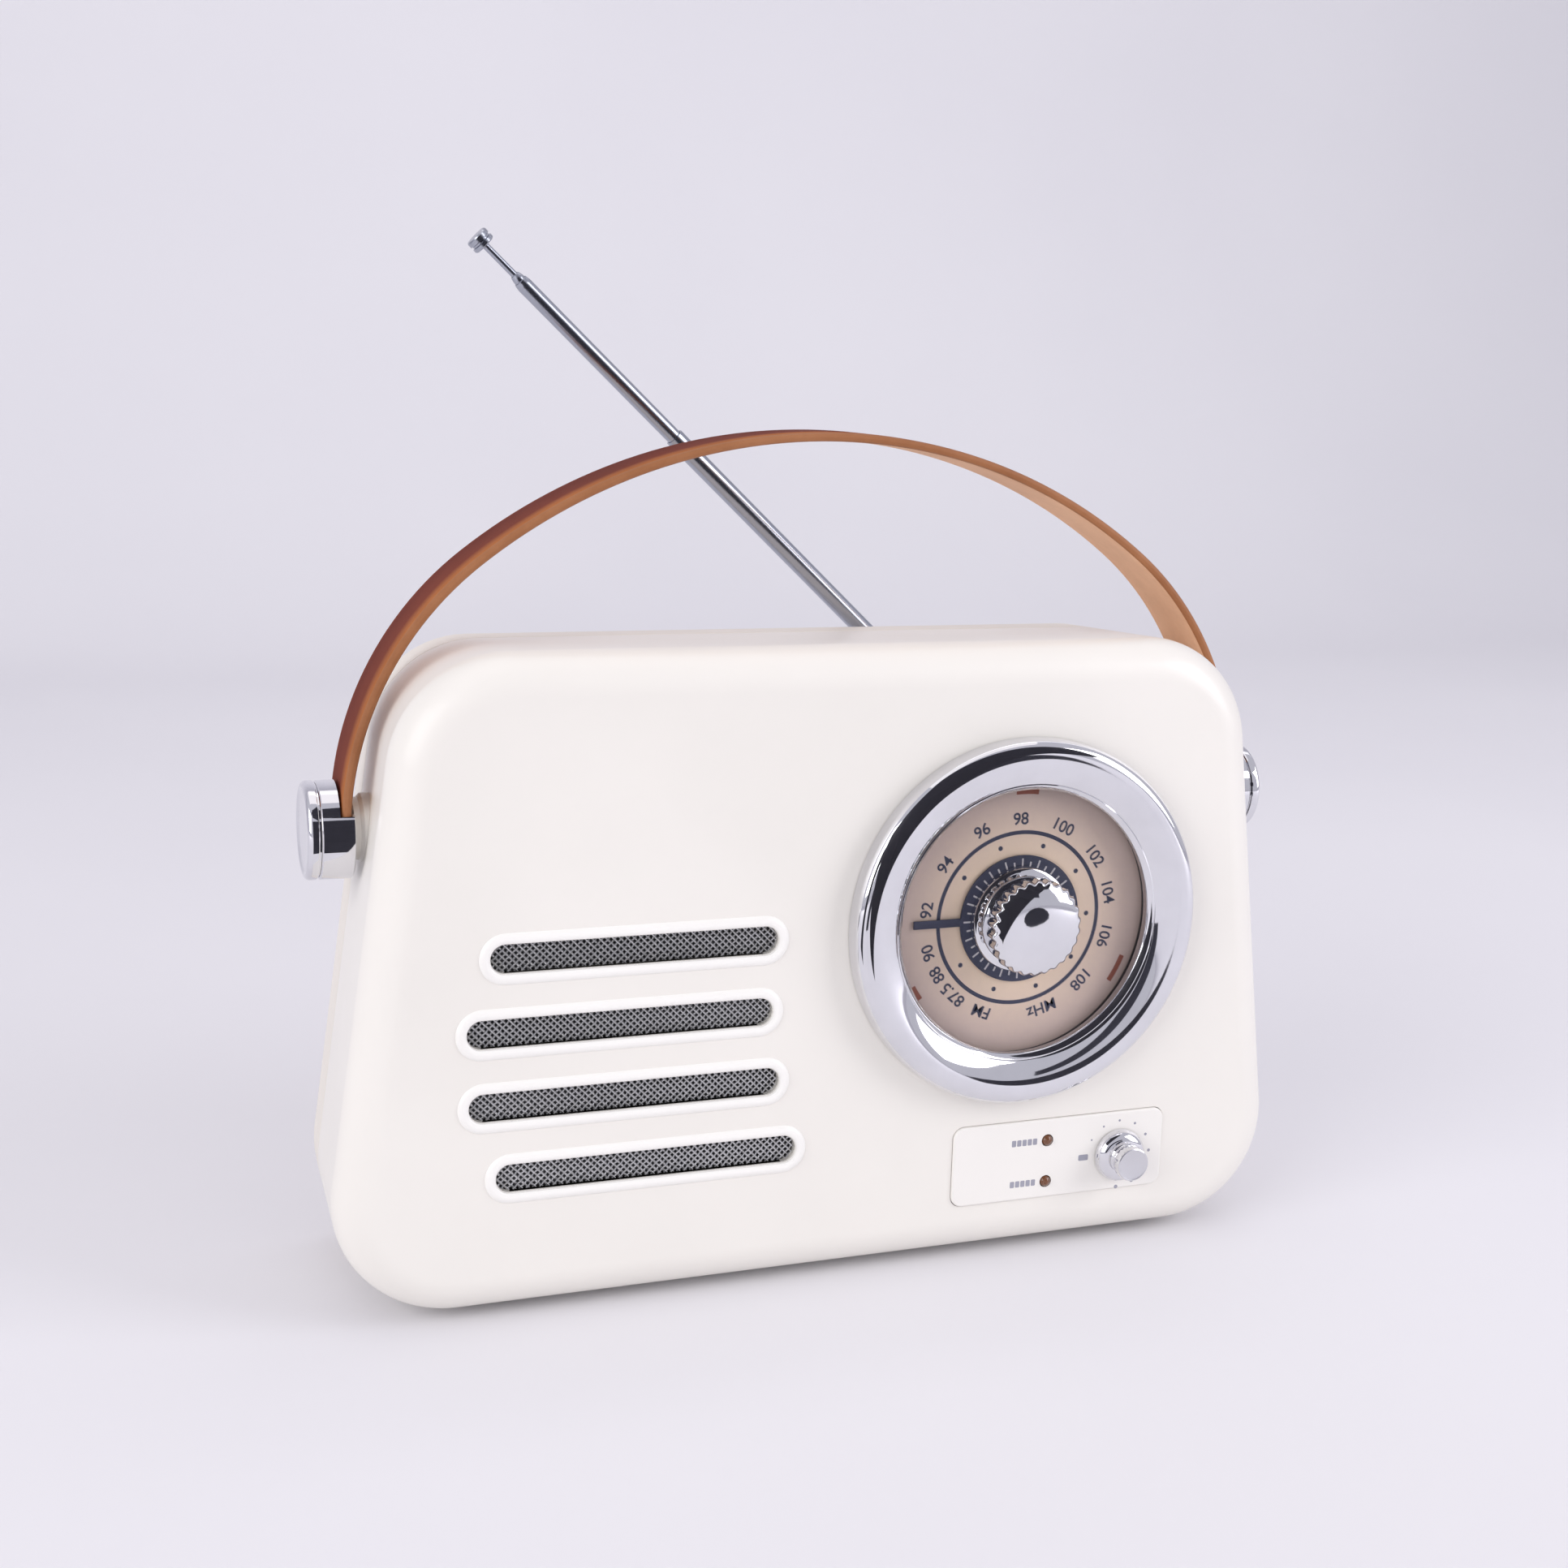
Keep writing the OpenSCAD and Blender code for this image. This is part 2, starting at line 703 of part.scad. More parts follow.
module board_capacitors() {
    cans = [[24, 78, 4, 11], [38, 76, 3.2, 8], [72, 100, 4, 11], [84, 82, 3.2, 8], [70, 72, 5, 12]];
    color([0.15, 0.2, 0.4]) in_cabinet()
        for (c = cans) rod_y(c[0], board_y + board_t, c[1], c[2], c[3]);
}

module board_coils() {
    can = 7.4;
    color(steel) in_cabinet() for (x = [22, 36, 50])
        translate([x, board_y + board_t, 114]) difference() {
            cube([can, 9, can]);
            translate([can / 2, 10, can / 2]) rotate([90, 0, 0]) cylinder(h = 4, r = 2);
        }
}

// ---------------------------------------------------------------- batteries

cell_r = 13;
cell_len = 46;
tray_mid_z = (tray_z0 + tray_z1) / 2;
cell_z = [tray_mid_z - cell_r - 0.7, tray_mid_z + cell_r + 0.7];
cell_y = tray_y0 + tray_wall + cell_r + 0.2;
tray_mid_x = (tray_x0 + tray_x1) / 2;
tray_y1 = cabinet_d - wall - 0.3;

module battery_tray() {
    color(black) in_cabinet() difference() {
        translate([tray_x0, tray_y0, tray_z0])
            cube([tray_x1 - tray_x0, tray_y1 - tray_y0, tray_z1 - tray_z0]);
        translate([tray_x0 + tray_wall, tray_y0 + tray_wall, tray_z0 + tray_wall])
            cube([tray_x1 - tray_x0 - 2 * tray_wall, cabinet_d, tray_z1 - tray_z0 - 2 * tray_wall]);
    }
}

module battery_cell(x, z, flip) {
    nub = 3;
    s = flip ? -1 : 1;
    translate([x, cell_y, z]) rotate([0, 90 * s, 0]) {
        translate([0, 0, -cell_len / 2]) cylinder(h = cell_len - 2, r = cell_r);
        translate([0, 0, cell_len / 2 - 2.1]) cylinder(h = 2, r = nub);
    }
}

module batteries() {
    color([0.25, 0.35, 0.25]) in_cabinet()
        for (row = [0, 1], side = [-1, 1])
            battery_cell(tray_mid_x + side * (cell_len / 2 + 0.4), cell_z[row], row == 1);
}

module battery_springs() {
    left = tray_x0 + tray_wall;
    right = tray_x1 - tray_wall;
    stack = cell_len + 0.4;
    color(steel) in_cabinet() {
        translate([left + 0.8, cell_y, cell_z[0]]) rotate([0, 90, 0])
            coil(tray_mid_x - stack - left - 1);
        translate([right - 0.8, cell_y, cell_z[1]]) rotate([0, -90, 0])
            coil(right - tray_mid_x - stack - 1);
    }
}

// A stack of rings stands for the turns of a conical spring.
module coil(len) {
    turns = 4;
    wire_r = 0.5;
    for (i = [0:turns - 1])
        translate([0, 0, wire_r + i * (len - 2 * wire_r) / (turns - 1)])
            rotate_extrude() translate([7 - i, 0]) circle(r = wire_r, $fn = 16);
    cylinder(h = len, r = 0.4);
    for (i = [0:turns - 1])
        translate([0, -0.3, wire_r + i * (len - 2 * wire_r) / (turns - 1) - 0.3])
            cube([7 - i, 0.6, 0.6]);
}

module battery_plates() {
    h = cell_z[1] - cell_z[0] + 18;
    color(steel) in_cabinet() for (x = [tray_x0 + tray_wall, tray_x1 - tray_wall - 0.6])
        translate([x, cell_y - 9, tray_mid_z - h / 2]) cube([0.6, 18, h]);
}

module battery_door() {
    color(cream) in_cabinet() difference() {
        union() {
            translate([door_x0, cabinet_d - door_t, hinge_z])
                cube([door_x1 - door_x0, door_t, door_z1 - hinge_z]);
            for (k = knuckle_x) {
                translate([k[0], hinge_y, hinge_z]) rotate([0, 90, 0])
                    cylinder(h = k[1] - k[0], r = hinge_r);
            }
            for (row = [0:4])
                plate_y(cabinet_d - 0.5, cabinet_d + 0.4)
                    round_bar(tray_mid_x - 9, tray_mid_x + 9, door_z1 - 10 + 1.8 * row, 0.8);
        }
        for (k = knuckle_x)
            translate([k[0] - 1, hinge_y, hinge_z]) rotate([0, 90, 0])
                cylinder(h = k[1] - k[0] + 2, r = pin_r + running);
        for (x = ear_places())
            translate([x - play, hinge_y - 3, hinge_z - 3]) cube([ear_w + 2 * play, 6, 3 + ear_r + play]);
    }
}

module door_pin() {
    reach = ear_w + play;
    color(steel) in_cabinet() for (k = knuckle_x)
        translate([k[0] - reach, hinge_y, hinge_z]) rotate([0, 90, 0])
            cylinder(h = k[1] - k[0] + 2 * reach, r = pin_r);
}

// ---------------------------------------------------------------- sockets and wires

module socket(place, hole_r) {
    color(black) in_cabinet() difference() {
        union() {
            rod_y(place[0], cabinet_d - 4, place[1], socket_hole_r, 4);
            translate([place[0] - 5.5, cabinet_d - wall - 10.3, place[1] - 5.5]) cube([11, 10, 11]);
        }
        rod_y(place[0], cabinet_d - 9, place[1], hole_r, 10);
    }
}

module power_socket() {
    socket(power_place, 2.8);
}

module earphone_socket() {
    socket(earphone_place, 1.8);
}

// A bent wire: one capsule for each step between two points.
module wire(points, r) {
    for (i = [0:len(points) - 2])
        hull() {
            translate(points[i]) sphere(r = r, $fn = 8);
            translate(points[i + 1]) sphere(r = r, $fn = 8);
        }
}

module speaker_wires() {
    color([0.7, 0.15, 0.12]) in_cabinet() for (dz = [0, 2.5])
        wire([
            [speaker_x + 24, 22, speaker_z + dz], [-20, 27, 62 + dz], [-2, 26, 68 + dz],
            [12, 22, 66 + dz], [15, board_y + board_t + 0.9, 66 + dz]
        ], 0.7);
}

module battery_wires() {
    color(black) in_cabinet() for (dx = [0, 2.5])
        wire([
            [34 + dx, tray_y0 - 0.9, 62], [35 + dx, 30, 64], [38 + dx, 24, 58],
            [40 + dx, board_y + board_t + 0.9, 56]
        ], 0.7);
}

// ---------------------------------------------------------------- carry strap

// Half the span between the strap's outer faces.
strap_half = 119.4;
// The arch has three arcs: one crown arc and two side arcs.
side_arc_r = 82;
// Radius of the crown arc that meets both side arcs without a kink.
crown_arc_r = (pow(strap_half - side_arc_r, 2) + pow(strap_rise, 2) - pow(side_arc_r, 2))
    / (2 * (strap_rise - side_arc_r));
barrel_in_x = 116.1;
barrel_out_x = 124;
cap_out_x = 127.2;
// How far the strap's end tongues reach below the pivot, inside the round barrels.
tongue_low = 4.4;
// Height above the pivot from which the barrel's inner side is cut away.
notch_z = 5.1;

// Points of the arch from the right pivot over the crown to the left pivot, at an inset
// from the strap's outer face.
function arch_points(inset) =
    let(
        side_x = strap_half - side_arc_r,
        crown_z = strap_rise - crown_arc_r,
        joint = atan2(-crown_z, side_x),
        steps = 14
    )
    concat(
        arc(side_x, 0, side_arc_r - inset, 0, joint, steps),
        arc(0, crown_z, crown_arc_r - inset, joint, 180 - joint, 3 * steps),
        arc(-side_x, 0, side_arc_r - inset, 180 - joint, 180, steps));

function reversed(list) = [for (i = [len(list) - 1 : -1 : 0]) list[i]];

module strap() {
    inner_half = strap_half - strap_t;
    color(leather) in_cabinet() translate([0, pivot_y - strap_w / 2, pivot_z]) difference() {
        plate_y(0, strap_w) polygon(concat(
            [[strap_half, -tongue_low]], arch_points(0),
            [[-strap_half, -tongue_low], [-inner_half, -tongue_low]],
            reversed(arch_points(strap_t)),
            [[inner_half, -tongue_low]]));
        translate([-200, strap_w / 2, 0]) rotate([0, 90, 0]) cylinder(h = 400, r = post_r + play);
    }
}

module strap_barrel(side) {
    slot_x = strap_half - strap_t - 0.2;
    slot_w = strap_t + 0.4;
    big = 40;
    color(chrome) in_cabinet() mirror([side, 0, 0]) translate([0, pivot_y, pivot_z])
        difference() {
            rotate([0, 90, 0]) translate([0, 0, barrel_in_x])
                cylinder(h = barrel_out_x - barrel_in_x, r = barrel_r);
            translate([barrel_in_x - 1, -big / 2, notch_z])
                cube([slot_x + slot_w - barrel_in_x + 1, big, big]);
            translate([slot_x, -strap_w / 2 - 0.25, -tongue_low - 0.3])
                cube([slot_w, strap_w + 0.5, big]);
            rotate([0, 90, 0]) translate([0, 0, barrel_in_x - 1])
                cylinder(h = 30, r = post_r + running);
            rotate([0, 90, 0]) translate([0, 0, slot_x + slot_w + 1])
                cylinder(h = 30, r = 5.3);
        }
}

module left_strap_barrel() {
    strap_barrel(1);
}

module right_strap_barrel() {
    strap_barrel(0);
}

module strap_caps() {
    edge = 1.2;
    color(chrome) in_cabinet() for (side = [0, 1]) mirror([side, 0, 0])
        translate([0, pivot_y, pivot_z]) rotate([0, 90, 0]) rotate_extrude()
            polygon(concat(
                [[0, barrel_out_x], [barrel_r, barrel_out_x]],
                arc(barrel_r - edge, cap_out_x - edge, edge, 0, 90, 5),
                [[barrel_r - 2, cap_out_x - 0.4], [0, cap_out_x - 0.4]]));
}

module strap_posts() {
    head_x = 121;
    color(steel) in_cabinet() for (side = [0, 1]) mirror([side, 0, 0])
        translate([0, pivot_y, pivot_z]) rotate([0, 90, 0]) {
            translate([0, 0, seat_in_x - 4]) cylinder(h = head_x - seat_in_x + 4.1, r = post_r);
            translate([0, 0, head_x]) cylinder(h = 1.8, r = 5);
        }
}

module strap_nuts() {
    nut_t = 2.6;
    color(steel) in_cabinet() for (side = [0, 1]) mirror([side, 0, 0])
        translate([seat_in_x - nut_t, pivot_y, pivot_z]) rotate([0, 90, 0]) difference() {
            cylinder(h = nut_t, r = 5.6, $fn = 6);
            translate([0, 0, -1]) cylinder(h = nut_t + 2, r = post_r + running, $fn = 64);
        }
}

// ---------------------------------------------------------------- antenna

antenna_off = 3.6;
tube_1_r = 2.5;
tube_2_r = 2.05;
tube_3_r = 1.55;
rod_r = 0.9;
tube_play = 0.07;
tilt_pin_r = 0.8;
ear_gap = 2.4;
ear_t = 1.5;
tube_start = 5;
tube_2_len = 86;
tube_3_len = 83;
rod_len = 80;
tube_3_out = 2;

// The frame of the antenna: Z runs along it from the tilt pin, X along the tilt pin.
module along_antenna() {
    translate([antenna_x, front_y + cabinet_d + antenna_off, foot_h + antenna_z])
        rotate([0, -antenna_lean, 0]) children();
}

module antenna_swivel() {
    disc_t = 1.2;
    stem_len = 9;
    color(chrome) along_antenna() difference() {
        union() {
            translate([0, -antenna_off - disc_t + 0.2, 0]) rotate([-90, 0, 0])
                cylinder(h = disc_t, r = swivel_r);
            translate([0, -antenna_off - disc_t - stem_len + 0.3, 0]) rotate([-90, 0, 0])
                cylinder(h = stem_len, r = stem_r);
            for (s = [-1, 1])
                translate([s * (ear_gap / 2 + play / 3 + ear_t / 2), 0, 0]) {
                    translate([-ear_t / 2, -antenna_off, -3.2])
                        cube([ear_t, antenna_off, 6.4]);
                    rotate([0, 90, 0]) translate([0, 0, -ear_t / 2])
                        cylinder(h = ear_t, r = 3.2);
                }
        }
        rotate([0, 90, 0]) translate([0, 0, -10]) cylinder(h = 20, r = tilt_pin_r + 0.02);
    }
}

module antenna_nut() {
    color(steel) in_cabinet() difference() {
        translate([antenna_x, cabinet_d - wall - 3 - 2.3, antenna_z]) rotate([-90, 0, 0])
            cylinder(h = 2, r = 5, $fn = 6);
        rod_y(antenna_x, cabinet_d - 12, antenna_z, stem_r + 0.02, 8);
    }
}

module tilt_pin() {
    half = ear_gap / 2 + play / 3 + ear_t;
    color(steel) along_antenna() rotate([0, 90, 0]) translate([0, 0, -half])
        cylinder(h = 2 * half, r = tilt_pin_r);
}

module antenna_tube_1() {
    tongue_r = 2.2;
    color(chrome) along_antenna() difference() {
        union() {
            translate([0, 0, tube_start]) cylinder(h = tube_1_end - tube_start, r = tube_1_r);
            rotate([0, 90, 0]) translate([0, 0, -ear_gap / 2]) cylinder(h = ear_gap, r = tongue_r);
            translate([-ear_gap / 2, -tongue_r, 0]) cube([ear_gap, 2 * tongue_r, tube_start + 1]);
        }
        translate([0, 0, tube_start + 3]) cylinder(h = tube_1_end, r = tube_2_r + tube_play);
        rotate([0, 90, 0]) translate([0, 0, -10]) cylinder(h = 20, r = tilt_pin_r + running);
    }
}

module antenna_tube_2() {
    end = tube_1_end + tube_2_out;
    color(chrome) along_antenna() difference() {
        translate([0, 0, end - tube_2_len]) cylinder(h = tube_2_len, r = tube_2_r);
        translate([0, 0, end - tube_2_len + 2]) cylinder(h = tube_2_len, r = tube_3_r + tube_play);
    }
}

module antenna_tube_3() {
    end = tube_1_end + tube_2_out + tube_3_out;
    color(chrome) along_antenna() difference() {
        translate([0, 0, end - tube_3_len]) cylinder(h = tube_3_len, r = tube_3_r);
        translate([0, 0, end - tube_3_len + 2]) cylinder(h = tube_3_len, r = rod_r + tube_play);
    }
}

module antenna_rod() {
    end = tube_1_end + tube_2_out + tube_3_out + rod_out;
    tip_r = 3.2;
    tip_len = 3.4;
    color(chrome) along_antenna() {
        translate([0, 0, end - rod_len]) cylinder(h = rod_len + 0.1, r = rod_r);
        translate([0, 0, end]) cylinder(h = tip_len, r = tip_r);
    }
}

front_cabinet();
rear_cover();
case_screws();
feet();
grille_mesh();
speaker_gasket();
speaker_basket();
speaker_surround();
speaker_cone();
dust_cap();
voice_coil();
speaker_magnet();
speaker_yoke();
speaker_screws();
dial_bezel();
dial_lens();
dial_spacer();
dial_plate();
dial_retainer();
retainer_screws();
dial_pointer();
tuning_knob();
tuning_shaft();
tuning_control();
control_panel();
power_lamp();
tuning_lamp();
volume_knob();
volume_shaft();
volume_control();
control_board();
main_board();
board_screws();
tuner_chip();
amplifier_chip();
board_capacitors();
board_coils();
battery_tray();
batteries();
battery_springs();
battery_plates();
battery_door();
door_pin();
power_socket();
earphone_socket();
speaker_wires();
battery_wires();
strap();
left_strap_barrel();
right_strap_barrel();
strap_caps();
strap_posts();
strap_nuts();
antenna_swivel();
antenna_nut();
tilt_pin();
antenna_tube_1();
antenna_tube_2();
antenna_tube_3();
antenna_rod();
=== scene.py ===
import json
import math

import bmesh
import bpy
from mathutils import Matrix, Vector


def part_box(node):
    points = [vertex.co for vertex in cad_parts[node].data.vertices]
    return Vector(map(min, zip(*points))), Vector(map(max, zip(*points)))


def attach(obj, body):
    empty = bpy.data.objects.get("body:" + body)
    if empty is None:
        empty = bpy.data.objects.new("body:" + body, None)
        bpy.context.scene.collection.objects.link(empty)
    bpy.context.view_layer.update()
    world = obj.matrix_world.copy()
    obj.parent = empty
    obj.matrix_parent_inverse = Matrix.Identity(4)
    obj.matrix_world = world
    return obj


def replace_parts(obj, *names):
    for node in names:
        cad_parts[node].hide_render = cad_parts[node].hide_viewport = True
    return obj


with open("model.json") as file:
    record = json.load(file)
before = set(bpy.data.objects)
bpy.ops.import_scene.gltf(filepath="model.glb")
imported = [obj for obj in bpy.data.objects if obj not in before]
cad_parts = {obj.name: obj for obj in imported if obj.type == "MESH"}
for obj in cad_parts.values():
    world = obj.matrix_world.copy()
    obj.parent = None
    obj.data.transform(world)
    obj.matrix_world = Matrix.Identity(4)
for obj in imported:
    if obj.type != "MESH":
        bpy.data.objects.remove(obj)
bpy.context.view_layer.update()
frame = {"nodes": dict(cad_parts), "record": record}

MM = 0.001

# ------------------------------------------------------------------ places taken from the frame


def centre(node):
    """The middle of a node's box in the frame, in metres."""
    low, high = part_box(node)
    return [(low[i] + high[i]) / 2 for i in range(3)]


shell_low, shell_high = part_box("front_cabinet")
panel_low, panel_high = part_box("control_panel")
RIM_H = 0.8 * MM
FACE_Y = shell_low[1] + RIM_H
BASE_Z = shell_low[2]
SEAM_Y = shell_high[1]
WIDTH = shell_high[0] - shell_low[0]
HEIGHT = shell_high[2] - shell_low[2]
dial_x, _, dial_z = centre("dial_bezel")
volume_x, _, volume_z = centre("volume_knob")
DIAL_X_MM, DIAL_Z_MM = dial_x / MM, (dial_z - BASE_Z) / MM
VOLUME_X_MM, VOLUME_Z_MM = volume_x / MM, (volume_z - BASE_Z) / MM
PANEL_LOW = (panel_low[0] / MM, (panel_low[2] - BASE_Z) / MM)
PANEL_HIGH = (panel_high[0] / MM, (panel_high[2] - BASE_Z) / MM)
pivot_y, pivot_z = centre("strap_caps")[1:]
hinges = {j["name"]: j for j in frame["record"]["behaviour"]["joints"]}


def at(x, y, z):
    """A point in the frame from millimetres: y behind the front face, z above the cabinet's bottom."""
    return Vector((x * MM, FACE_Y + y * MM, BASE_Z + z * MM))


# ------------------------------------------------------------------ materials


class Nodes:
    """A short way to write a node material."""

    def __init__(self, name):
        self.mat = bpy.data.materials.new(name)
        self.mat.use_nodes = True
        self.tree = self.mat.node_tree
        self.bsdf = self.tree.nodes["Principled BSDF"]
        self.coords = self.add("ShaderNodeTexCoord").outputs["Object"]

    def add(self, kind, **values):
        """A new node with some of its settings."""
        node = self.tree.nodes.new(kind)
        for key, value in values.items():
            setattr(node, key, value)
        return node

    def link(self, source, target):
        """Joins an output to an input."""
        self.tree.links.new(source, target)

    def scaled(self, scale):
        """Object coordinates stretched by (x, y, z)."""
        node = self.add("ShaderNodeMapping")
        node.inputs["Scale"].default_value = scale
        self.link(self.coords, node.inputs["Vector"])
        return node.outputs["Vector"]

    def noise(self, scale, detail=3.0, rough=0.5, vector=None):
        """Cloudy noise from 0 to 1."""
        node = self.add("ShaderNodeTexNoise")
        node.inputs["Scale"].default_value = scale
        node.inputs["Detail"].default_value = detail
        node.inputs["Roughness"].default_value = rough
        self.link(vector or self.coords, node.inputs["Vector"])
        return node.outputs["Fac"]

    def ramp(self, source, stops):
        """Colours from a value, as (place, colour) stops."""
        node = self.add("ShaderNodeValToRGB")
        ramp = node.color_ramp
        while len(ramp.elements) < len(stops):
            ramp.elements.new(0.5)
        for element, (place, colour) in zip(ramp.elements, stops):
            element.position = place
            element.color = colour if len(colour) == 4 else (*colour, 1)
        self.link(source, node.inputs["Fac"])
        return node.outputs["Color"]

    def spread(self, source, low, high):
        """A value from 0 to 1, spread from low to high."""
        node = self.add("ShaderNodeMapRange")
        node.inputs["To Min"].default_value = low
        node.inputs["To Max"].default_value = high
        self.link(source, node.inputs["Value"])
        return node.outputs["Result"]

    def bump(self, heights):
        """Stacked bumps: each is (height, distance in metres, strength)."""
        normal = None
        for height, distance, strength in heights:
            node = self.add("ShaderNodeBump")
            node.inputs["Distance"].default_value = distance
            node.inputs["Strength"].default_value = strength
            self.link(height, node.inputs["Height"])
            if normal:
                self.link(normal, node.inputs["Normal"])
            normal = node.outputs["Normal"]
        self.link(normal, self.bsdf.inputs["Normal"])

    def set(self, **values):
        """Fixed values of the shader, with _ for a space."""
        for key, value in values.items():
            self.bsdf.inputs[key.replace("_", " ")].default_value = value


def darker(colour, factor):
    """A colour times a factor."""
    return tuple(c * factor for c in colour)


def plastic(name, colour, rough=0.4, grain=9000, depth=0.00002, variation=0.05, coat=0.0):
    """Moulded plastic, paint or print: clouded colour, fine grain and uneven gloss."""
    m = Nodes(name)
    cloud = m.noise(28, 4)
    m.link(m.ramp(cloud, [(0.3, darker(colour, 1 - variation)), (0.7, colour)]),
           m.bsdf.inputs["Base Color"])
    fine = m.noise(grain, 2)
    m.link(m.spread(m.noise(90, 5), rough - 0.06, rough + 0.08), m.bsdf.inputs["Roughness"])
    m.bump([(cloud, 0.0001, 0.15), (fine, depth, 0.35)])
    m.set(Coat_Weight=coat, Coat_Roughness=0.12, IOR=1.48)
    return m.mat


def metal(name, colour, rough, wear=0.03, brushed=None):
    """Metal with smudges, and brush marks where brushed gives their scale along each axis."""
    m = Nodes(name)
    smudge = m.noise(55, 5, 0.6)
    m.link(m.ramp(smudge, [(0.35, darker(colour, 0.93)), (0.65, colour)]),
           m.bsdf.inputs["Base Color"])
    m.link(m.spread(smudge, rough, rough + wear), m.bsdf.inputs["Roughness"])
    if brushed:
        m.bump([(m.noise(1, 3, 0.6, m.scaled(brushed)), 0.00002, 0.3)])
    else:
        m.bump([(m.noise(140, 2), 0.00003, 0.06)])
    m.set(Metallic=1.0)
    return m.mat


def leather(name, dark, light, rough=0.5, grain=1500, across=None, gloss=0.16):
    """Smooth leather: cells for the grain, slow clouds for the dye and fine pores.
    across gives (share of the width from the front edge, colour) for a band painted lighter toward the front
    edge and a little toward the back edge, a painted highlight where light from the front falls on the
    rounded shoulder."""
    m = Nodes(name)
    cells = m.add("ShaderNodeTexVoronoi", feature="DISTANCE_TO_EDGE")
    cells.inputs["Scale"].default_value = grain
    m.link(m.coords, cells.inputs["Vector"])
    clouds = m.noise(38, 6, 0.65)
    pores = m.noise(grain * 2.2, 3)
    colour = m.ramp(clouds, [(0.3, dark), (0.72, light)])
    # The band is a painted highlight: lighter toward the front edge, where light from the front would fall.
    if across:
        low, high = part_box("strap")
        split = m.add("ShaderNodeSeparateXYZ")
        m.link(m.coords, split.inputs["Vector"])
        share = m.add("ShaderNodeMapRange")
        share.inputs["From Min"].default_value = low[1]
        share.inputs["From Max"].default_value = high[1]
        m.link(split.outputs["Y"], share.inputs["Value"])
        mix = m.add("ShaderNodeMixRGB", blend_type="MULTIPLY")
        mix.inputs["Fac"].default_value = 1.0
        m.link(m.ramp(share.outputs["Result"], across), mix.inputs["Color1"])
        m.link(colour, mix.inputs["Color2"])
        colour = mix.outputs["Color"]
    m.link(colour, m.bsdf.inputs["Base Color"])
    m.link(m.spread(clouds, rough - 0.08, rough + 0.1), m.bsdf.inputs["Roughness"])
    m.bump([(clouds, 0.0003, 0.2), (m.spread(cells.outputs["Distance"], 0, 1), 0.0001, 0.35),
            (pores, 0.00005, 0.25)])
    m.set(Specular_IOR_Level=gloss)
    return m.mat


def woven(name, colour, light):
    """Cloth with slanting threads in two tones."""
    m = Nodes(name)
    along = m.add("ShaderNodeTexWave", wave_type="BANDS", bands_direction="DIAGONAL")
    along.inputs["Scale"].default_value = 380
    m.link(m.coords, along.inputs["Vector"])
    m.link(m.ramp(along.outputs["Fac"], [(0.2, colour), (0.8, light)]), m.bsdf.inputs["Base Color"])
    m.bump([(along.outputs["Fac"], 0.0002, 0.6), (m.noise(4000), 0.00005, 0.3)])
    m.set(Roughness=0.75)
    return m.mat


def card(name, inner, outer, radius):
    """Printed card whose tone darkens toward its rim, with paper fibres."""
    m = Nodes(name)
    place = m.add("ShaderNodeVectorMath", operation="SUBTRACT")
    place.inputs[1].default_value = (dial_x, 0, dial_z)
    m.link(m.coords, place.inputs[0])
    flat = m.add("ShaderNodeVectorMath", operation="MULTIPLY")
    flat.inputs[1].default_value = (1, 0, 1)
    m.link(place.outputs["Vector"], flat.inputs[0])
    reach = m.add("ShaderNodeVectorMath", operation="LENGTH")
    m.link(flat.outputs["Vector"], reach.inputs[0])
    share = m.add("ShaderNodeMath", operation="DIVIDE")
    share.inputs[1].default_value = radius
    m.link(reach.outputs["Value"], share.inputs[0])
    fibres = m.add("ShaderNodeMath", operation="MULTIPLY_ADD")
    fibres.inputs[1].default_value = 0.12
    m.link(m.noise(700, 4), fibres.inputs[0])
    m.link(share.outputs["Value"], fibres.inputs[2])
    m.link(m.ramp(fibres.outputs["Value"], [(0.55, inner), (1.0, outer)]), m.bsdf.inputs["Base Color"])
    m.bump([(m.noise(2600, 3), 0.00003, 0.3)])
    m.set(Roughness=0.6)
    return m.mat


def clear(name):
    """Clear plastic with faint smudges."""
    m = Nodes(name)
    m.link(m.spread(m.noise(60, 4), 0.02, 0.05), m.bsdf.inputs["Roughness"])
    m.set(Base_Color=(0.93, 0.93, 1.0, 1), Transmission_Weight=1.0, IOR=1.12, Alpha=0.35)
    return m.mat


